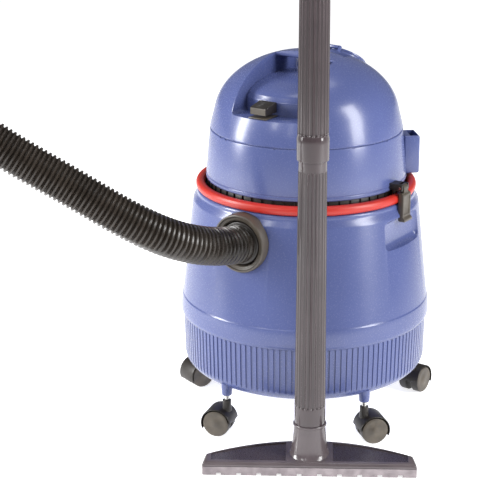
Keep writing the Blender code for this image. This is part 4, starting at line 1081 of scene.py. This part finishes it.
@dataclass
class Tubes:
    """Two fluted tubes of the wand, pushed into each other."""

    flutes: int = 22
    columns: int = 12
    depth: float = 0.0017
    bore: float = 0.0165

    def fluted(self, piece: Piece, low: float, high: float) -> None:
        """Sinks round-ended flutes into the outside of a tube between two heights."""
        pitch = math.tau / self.flutes
        half = 0.0021
        for vertex in piece.data.vertices:
            x, y, z = vertex.co
            radius = math.hypot(x, y)
            if radius < self.bore + 0.002 or not low - 0.002 < z < high + 0.002:
                continue
            turn = math.atan2(y, x) / pitch
            aside = abs(turn - round(turn)) * pitch * radius
            past = max(0.0, low + 0.002 - z, z - high + 0.002)
            reach = (aside / half) ** 2 + (past / 0.002) ** 2
            sink = self.depth * max(0.0, 1.0 - reach) ** 0.5
            vertex.co = ((radius - sink) * x / radius, (radius - sink) * y / radius, z)

    def rows(self, low: float, high: float, first: float, last: float) -> Outline:
        """Rows of the outside between two heights, close together at the ends of the flutes."""
        shares = [0.0, 0.0005, 0.001, 0.0016, 0.0023, 0.004]
        heights = [low + s for s in shares] + [low + (high - low) * k / 8 for k in range(1, 8)]
        heights += [high - s for s in reversed(shares)]
        return [(first + (last - first) * (z - low) / (high - low), z) for z in heights]

    def build(self) -> None:
        """Makes both tubes."""
        steps = self.flutes * self.columns
        section: Outline = [
            (self.bore, -0.0250), (0.0186, -0.0250), (0.0186, 0.0003), (0.0215, 0.0003),
            (0.0217, 0.0012), (0.0217, 0.0220),
        ]
        section += self.rows(0.0260, 0.3640, 0.02160, 0.01945)
        section += [(0.0193, 0.3740), (0.0193, 0.3942), (0.0190, 0.3950), (self.bore, 0.3950)]
        lower = turned("lower_tube_fluted", section, steps)
        self.fluted(lower, 0.0262, 0.3638)
        dress(moved(lower, wand_place()), "wand", TUBE_GREY.material(), nodes=["lower_tube"])
        section = [
            (0.0199, 0.3780), (0.0215, 0.3780), (0.0220, 0.3786), (0.0221, 0.4030),
            (0.0219, 0.4085), (0.0211, 0.4115),
        ]
        section += self.rows(0.4130, 0.7420, 0.02105, 0.01955)
        section += [(0.0195, 0.7600), (0.0195, 0.7672), (0.0192, 0.7680), (self.bore, 0.7680),
                    (self.bore, 0.3953), (0.0199, 0.3953)]
        upper = turned("upper_tube_fluted", section, steps)
        self.fluted(upper, 0.4132, 0.7418)
        dress(moved(upper, wand_place()), "wand", TUBE_GREY.material(), nodes=["upper_tube"])


@dataclass
class Grip:
    """Bent hand grip on top of the wand, its air regulator and the hose's cuff."""

    start: float = 0.748
    tube_top: float = 0.768
    rise: float = 0.083
    bend_radius: float = 0.070
    straight: float = 0.100
    radius: float = 0.0192
    collar: float = 0.0225
    cuff_length: float = 0.060
    vent_at: float = 0.041

    def way(self) -> Vector:
        """Way of the straight part, in the wand's frame."""
        return Vector((-math.sin(GRIP_BEND), 0, math.cos(GRIP_BEND)))

    def bend_end(self) -> Vector:
        """Point where the bend ends, in the wand's frame."""
        return Vector((-self.bend_radius * (1 - math.cos(GRIP_BEND)), 0,
                       self.start + self.rise + self.bend_radius * math.sin(GRIP_BEND)))

    def hose_end(self) -> Vector:
        """Point where the hose ends against the cuff, in the object's frame."""
        reach = self.straight + self.cuff_length + 0.0003
        return wand_place() @ (self.bend_end() + self.way() * reach)

    def centre_line(self) -> list[tuple[Vector, Vector, float]]:
        """Points, ways and outer radii along the grip."""
        up = Vector((0, 0, 1))
        line = [
            (Vector((0, 0, self.start)), up, self.collar - 0.0005),
            (Vector((0, 0, self.start + 0.0008)), up, self.collar),
            (Vector((0, 0, self.tube_top + 0.0030)), up, self.collar),
            (Vector((0, 0, self.tube_top + 0.0050)), up, self.collar - 0.0006),
            (Vector((0, 0, self.tube_top + 0.0080)), up, self.radius + 0.0008),
            (Vector((0, 0, self.tube_top + 0.0110)), up, self.radius),
        ]
        low = self.start + self.rise
        for k in range(17):
            angle = GRIP_BEND * k / 16
            line.append((
                Vector((-self.bend_radius * (1 - math.cos(angle)), 0,
                        low + self.bend_radius * math.sin(angle))),
                Vector((-math.sin(angle), 0, math.cos(angle))), self.radius,
            ))
        end, way = self.bend_end(), self.way()
        rings = [(0.020, self.radius), (0.060, self.radius)]
        for k in range(6):
            at = 0.0635 + 0.0055 * k
            rings += [(at - 0.0013, self.radius), (at - 0.0007, self.radius + 0.0007),
                      (at + 0.0007, self.radius + 0.0007), (at + 0.0013, self.radius)]
        rings += [(0.0975, self.radius), (0.0990, 0.0188), (0.0996, 0.0187), (0.1195, 0.0187),
                  (0.1200, 0.0184)]
        return line + [(end + way * at, way, radius) for at, radius in rings]

    def swept(self, name: str, line: list[tuple[Vector, Vector, float]], inner: float,
              sides: int = 64) -> Piece:
        """Tube with a bore along a line of points, ways and radii."""
        points, faces = [], []
        across = Vector((0, 1, 0))
        for inside in (False, True):
            for point, way, radius in line:
                radius = inner if inside else radius
                out = across.cross(way)
                points += [point + radius * (math.cos(a) * out + math.sin(a) * across)
                           for a in (math.tau * k / sides for k in range(sides))]
        count = len(line)
        order = list(range(count)) + list(range(2 * count - 1, count - 1, -1))
        for first, second in zip(order, order[1:] + order[:1]):
            for k in range(sides):
                n = (k + 1) % sides
                faces.append((first * sides + k, first * sides + n,
                              second * sides + n, second * sides + k))
        mesh = bpy.data.meshes.new(name)
        mesh.from_pydata([tuple(p) for p in points], [], faces)
        piece = bpy.data.objects.new(name, mesh)
        bpy.context.scene.collection.objects.link(piece)
        pick(piece)
        bpy.ops.object.mode_set(mode="EDIT")
        bpy.ops.mesh.select_all(action="SELECT")
        bpy.ops.mesh.normals_make_consistent(inside=False)
        bpy.ops.object.mode_set(mode="OBJECT")
        return piece

    def build(self) -> None:
        """Makes the grip, the regulator ring and the cuff."""
        grip = self.swept("hand_grip_bent", self.centre_line(), 0.0150)
        socket = rod("socket", 0.0201, self.start - 0.01, self.tube_top + 0.0003, 0.0, 64)
        vent_spot, way = self.bend_end() + self.way() * self.vent_at, self.way()
        up = Vector((math.cos(GRIP_BEND), 0, math.sin(GRIP_BEND)))
        vent = moved(rod("vent", 0.004, 0.0, 0.03, 0.0, 32), aimed(up, vent_spot))
        combine(grip, socket, vent)
        dress(moved(grip, wand_place()), "wand", TUBE_GREY.material(), nodes=["hand_grip"])
        inner = self.radius + 0.0005
        section = [(inner, -0.0110), (inner + 0.0020, -0.0110), (inner + 0.0028, -0.0098)]
        for k in range(6):
            z = -0.0080 + 0.0028 * k
            section += [(inner + 0.0028, z), (inner + 0.0021, z + 0.0007),
                        (inner + 0.0028, z + 0.0014)]
        section += [(inner + 0.0028, 0.0098), (inner + 0.0020, 0.0110), (inner, 0.0110)]
        ring = moved(turned("air_slider", section, 96), aimed(way, vent_spot))
        window = moved(rod("window", 0.0045, 0.0, 0.03, 0.0, 32), aimed(up, vent_spot))
        combine(ring, window)
        dress(moved(ring, wand_place()), "air_regulator", BLACK.material(),
              nodes=["air_regulator"])
        section = [(0.0192, 0.0003), (0.0218, 0.0003), (0.0224, 0.0012), (0.0246, 0.0100)]
        for k in range(4):
            z = 0.0140 + 0.0100 * k
            section += [(0.0250, z), (0.0250, z + 0.0060), (0.0241, z + 0.0070),
                        (0.0241, z + 0.0090)]
        section += [(0.0250, 0.0550), (0.0250, 0.0592), (0.0244, 0.0600), (0.0165, 0.0600),
                    (0.0165, 0.0215), (0.0192, 0.0215)]
        cuff = moved(turned("hose_cuff", section, 96),
                     aimed(way, self.bend_end() + way * self.straight))
        dress(moved(cuff, wand_place()), "grip_cuff", BLACK.material(), nodes=["grip_cuff"])


@dataclass
class Nozzle:
    """Wide floor nozzle: arched back, dark recessed panels, flared neck and notched skirt."""

    half: float = 0.149
    front: float = -0.034
    back: float = 0.033
    shoulder: float = -0.009
    rim: float = 0.0165
    top: float = 0.027
    notch_count: int = 10
    notch_pitch: float = 0.028

    def arch(self, x: float, inset: float = 0.0) -> float:
        """Depth of the arched back edge at a distance from the middle."""
        span = self.half - 0.002
        return self.back - (self.back - self.shoulder) * (x / span) ** 2 - inset

    def slope(self, y: float) -> float:
        """Height of the upper face at a depth."""
        rise = (self.top - self.rim - 0.003) / (self.back - self.front)
        return FLOOR + self.rim + 0.003 + rise * (y - self.front)

    def panel(self, way: int) -> Piece:
        """Cutter for one recessed panel."""
        near, far = 0.0330, 0.1370
        points = [(near, -0.0262), (far, -0.0262)]
        points += [(x, self.arch(x) * 0.88 - 0.0060)
                   for x in (far + (near - far) * k / 14 for k in range(15))]
        points = [(way * x, y) for x, y in points]
        if way < 0:
            points.reverse()
        cutter = prism("panel", points, 0.0, 0.02)
        for vertex in cutter.data.vertices:
            if vertex.co.z < 0.01:
                vertex.co.z = self.slope(vertex.co.y) - 0.0011
        return cutter

    def build(self) -> None:
        """Makes the body, with its neck, recessed panels and notched skirt."""
        span = self.half - 0.002
        arch = [(x, self.arch(x)) for x in (span * (1 - k / 24) for k in range(49))]
        corners = [(-self.half, self.front), (self.half, self.front)]
        outline = corners + arch
        body = prism("nozzle_shell", outline, FLOOR, FLOOR + self.rim)
        bpy.ops.object.mode_set(mode="EDIT")
        bpy.ops.mesh.select_all(action="DESELECT")
        bpy.ops.object.mode_set(mode="OBJECT")
        for polygon in body.data.polygons:
            polygon.select = polygon.normal.z > 0.9
        bpy.ops.object.mode_set(mode="EDIT")
        bpy.ops.mesh.extrude_region_move(TRANSFORM_OT_translate={"value": (0, 0, 0.003)})
        bpy.ops.object.mode_set(mode="OBJECT")
        middle = (self.front + self.shoulder) / 2
        for vertex in body.data.vertices:
            if vertex.co.z > FLOOR + self.rim + 0.001:
                vertex.co.z = self.slope(vertex.co.y)
                vertex.co.x *= 0.975
                vertex.co.y = middle + (vertex.co.y - middle) * 0.90
        softened(body, 0.0012, 3, 20.0)
        combine(body, self.panel(1), self.panel(-1))
        neck = turned("neck", rounded([
            (0.0, FLOOR + 0.010), (0.0330, FLOOR + 0.010), (0.0330, FLOOR + 0.0185),
            (0.0296, FLOOR + 0.0205), (0.0268, FLOOR + 0.0250), (0.0250, FLOOR + 0.0330),
            (0.0236, FLOOR + 0.0440), (0.0223, FLOOR + 0.0560), (0.0218, -0.0044),
            (0.0220, -0.0036), (0.0234, -0.0032), (0.0234, 0.0), (0.0, 0.0),
        ], 0.0020, 3), 96)
        front = block("front_trim", (-0.2, -0.06, -0.08), (0.2, self.front + 0.0012, 0.0), 0.0)
        combine(neck, front)
        fused(body, neck)
        bore = rod("bore", 0.0189, FLOOR + 0.006, 0.01, 0.0, 64)
        slot = block("slot", (-0.140, -0.029, FLOOR - 0.01), (0.140, -0.013, FLOOR + 0.0095), 0.0)
        chamber = block("chamber", (-0.024, -0.029, FLOOR - 0.01),
                        (0.024, 0.018, FLOOR + 0.0094), 0.0)
        first = -self.notch_pitch * (self.notch_count - 1) / 2
        notches = [
            block("notch", (x - 0.0032, self.front - 0.01, FLOOR - 0.01),
                  (x + 0.0032, -0.028, FLOOR + 0.0038), 0.0)
            for x in (first + self.notch_pitch * k for k in range(self.notch_count))
        ]
        line = block("shadow_line", (-0.16, self.front - 0.01, FLOOR + 0.0128),
                     (0.16, self.front + 0.0008, FLOOR + 0.0140), 0.0)
        combine(body, bore, slot, chamber, joined("notches", notches), line)
        for polygon in body.data.polygons:
            x, y, z = polygon.center
            panel = (abs(x) > 0.0325 and z > FLOOR + self.rim and polygon.normal.z > 0.8
                     and z < self.slope(y) - 0.0006)
            skirt = y < self.front + 0.0007 and z < FLOOR + 0.0129
            polygon.material_index = 1 if panel else 2 if skirt else 0
        dress(moved(body, wand_place()), "nozzle", NOZZLE_GREY.material(),
              NOZZLE_DARK.material(), NOZZLE_SKIRT.material(), nodes=["nozzle_body"])


# ------------------------------------------------------------------ filter


@dataclass
class Filter:
    """Pleated filter cartridge round the float cage."""

    pleats: int = 72
    outside: float = 0.074
    inside: float = 0.050
    low: float = 0.157
    high: float = 0.271

    def build(self) -> None:
        """Makes the pleats with an end ring above and below."""
        section = [(self.inside, self.low), (self.outside, self.low), (self.outside, self.low + 0.004),
                   (self.outside - 0.0004, self.low + 0.0042), (self.outside - 0.0004, self.high - 0.0042),
                   (self.outside, self.high - 0.004), (self.outside, self.high), (self.inside, self.high)]
        cartridge = turned("filter_pleats", section, self.pleats * 4)
        for vertex in cartridge.data.vertices:
            x, y, z = vertex.co
            radius = math.hypot(x, y)
            if radius > 0.07 and self.low + 0.0041 < z < self.high - 0.0041:
                turn = math.atan2(y, x) / math.tau * self.pleats
                fold = abs(turn - math.floor(turn) - 0.5) * 2
                vertex.co = (x * (1 - 0.10 * fold), y * (1 - 0.10 * fold), z)
        dress(cartridge, "head", PAPER.material(), nodes=["filter_cartridge"], angle=20.0)


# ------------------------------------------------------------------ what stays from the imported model


def finish_packed_nodes(nodes: dict[str, Piece]) -> None:
    """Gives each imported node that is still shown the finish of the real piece."""
    looks: dict[Finish, tuple[str, ...]] = {
        BLACK: ("inlet_deflector", "filter_cap"),
        RUBBER: ("head_gasket", "motor_seal", "front_strip", "rear_strip_left",
                 "rear_strip_right"),
        STEEL: ("latch_right_pin", "latch_left_pin", "blower_cap_pin", "motor_screw_1",
                "motor_screw_2", "motor_screw_3", "motor_shaft", "castor_stem_1",
                "castor_stem_2", "castor_stem_3", "castor_stem_4", "castor_stem_5"),
        ALUMINIUM: ("turbine_housing", "turbine_wheel", "motor_body"),
        WHITE: ("cooling_fan", "float_cage", "float_ball"),
    }
    for finish, names in looks.items():
        for name in names:
            nodes[name].data.materials.clear()
            nodes[name].data.materials.append(finish.material())


# ------------------------------------------------------------------ studio


@dataclass
class Softbox:
    """One rectangular studio lamp, aimed at a spot."""

    name: str
    spot: tuple[float, float, float]
    target: tuple[float, float, float]
    size: tuple[float, float]
    watts: float
    tint: str = "#FFFFFF"

    def build(self) -> None:
        """Adds the lamp."""
        data = bpy.data.lights.new(self.name, "AREA")
        data.shape = "RECTANGLE"
        data.size, data.size_y = self.size
        data.energy = self.watts
        data.color = colour(self.tint)[:3]
        lamp = bpy.data.objects.new(self.name, data)
        lamp.location = self.spot
        way = Vector(self.target) - Vector(self.spot)
        lamp.rotation_euler = way.to_track_quat("-Z", "Y").to_euler()
        bpy.context.scene.collection.objects.link(lamp)


@dataclass
class Studio:
    """Pale floor, soft lamps and the camera."""

    camera_spot: tuple[float, float, float] = (1.2776, -2.0446, 0.9688)
    pitch_down: float = 18.25
    heading: tuple[float, float] = (-0.5304, 0.7877)
    lens: float = 122.4

    def view(self) -> None:
        """Adds the camera."""
        data = bpy.data.cameras.new("view")
        data.lens, data.sensor_width = self.lens, 36.0
        data.clip_end = 50.0
        camera = bpy.data.objects.new("view", data)
        camera.location = self.camera_spot
        flat = Vector((*self.heading, 0.0)).normalized()
        pitch = math.radians(self.pitch_down)
        way = flat * math.cos(pitch) - Vector((0, 0, 1)) * math.sin(pitch)
        camera.rotation_euler = way.to_track_quat("-Z", "Y").to_euler()
        bpy.context.scene.collection.objects.link(camera)
        bpy.context.scene.camera = camera

    def floor(self) -> None:
        """Adds the floor: a wide flat plane."""
        deselect()
        bpy.ops.mesh.primitive_plane_add(size=14.0, location=(0, 0, FLOOR - 0.0002))
        floor = fresh("studio_floor")
        paint = bpy.data.materials.new("matt white studio paper")
        paint.use_nodes = True
        tree = paint.node_tree
        shader = tree.nodes["Principled BSDF"]
        place = add(tree, "TexCoord").outputs["Object"]
        mottle = add(tree, "TexNoise", {"Vector": place}, {"Scale": 3.0, "Detail": 2.0})
        tone = add(tree, "ValToRGB", {"Fac": mottle.outputs["Fac"]})
        tone.color_ramp.elements[0].color = colour("#F6F6F6")
        tone.color_ramp.elements[1].color = colour("#FAFAFA")
        tree.links.new(tone.outputs["Color"], shader.inputs["Base Color"])
        shader.inputs["Roughness"].default_value = 0.9
        shader.inputs["Specular IOR Level"].default_value = 0.1
        shader.inputs["Emission Color"].default_value = colour("#FFFFFF")
        shader.inputs["Emission Strength"].default_value = 0.76
        floor.data.materials.append(paint)

    def build(self) -> None:
        """Adds the camera, the floor, the lamps and the pale surroundings."""
        self.view()
        self.floor()
        world = bpy.data.worlds.new("studio")
        bpy.context.scene.world = world
        world.use_nodes = True
        ground = world.node_tree.nodes["Background"]
        ground.inputs["Color"].default_value = colour("#FFFFFF")
        ground.inputs["Strength"].default_value = 0.20
        for lamp in (
            Softbox("left box", (-1.65, -1.35, 1.0), (0, 0, 0.25), (0.5, 1.5), 66.0),
            Softbox("right box", (1.95, 0.15, 1.1), (0, 0, 0.25), (0.6, 1.6), 50.0),
            Softbox("front strip", (0.55, -2.4, 1.7), (0, 0, 0.35), (0.18, 1.2), 4.0),
            Softbox("front left strip", (-0.35, -2.4, 1.9), (0, 0, 0.35), (0.30, 1.0), 11.0),
            Softbox("top", (0.0, 0.2, 2.2), (0, 0, 0.2), (1.0, 1.0), 9.0),
        ):
            lamp.build()
        bpy.context.scene.view_settings.view_transform = "Standard"


def main() -> None:
    """Builds every sub-assembly in order."""
    logging.basicConfig(level=logging.INFO, format="%(name)s: %(message)s")
    bpy.ops.object.select_all(action="SELECT")
    bpy.ops.object.delete()
    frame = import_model()
    deselect()
    Studio().build()
    makers: list[Callable[[], None]] = [
        Hose().build, Tank().build, Inlet().build, MotorHead().build, Cover().build,
        Latch(side=1).build, Latch(side=-1).build, Tubes().build, Grip().build,
        Nozzle().build, Filter().build,
    ]
    makers += [Castor(index=k).build for k in range(5)]
    for make in makers:
        make()
    finish_packed_nodes(frame["nodes"])
    deselect()


if __name__ == "__main__":
    main()
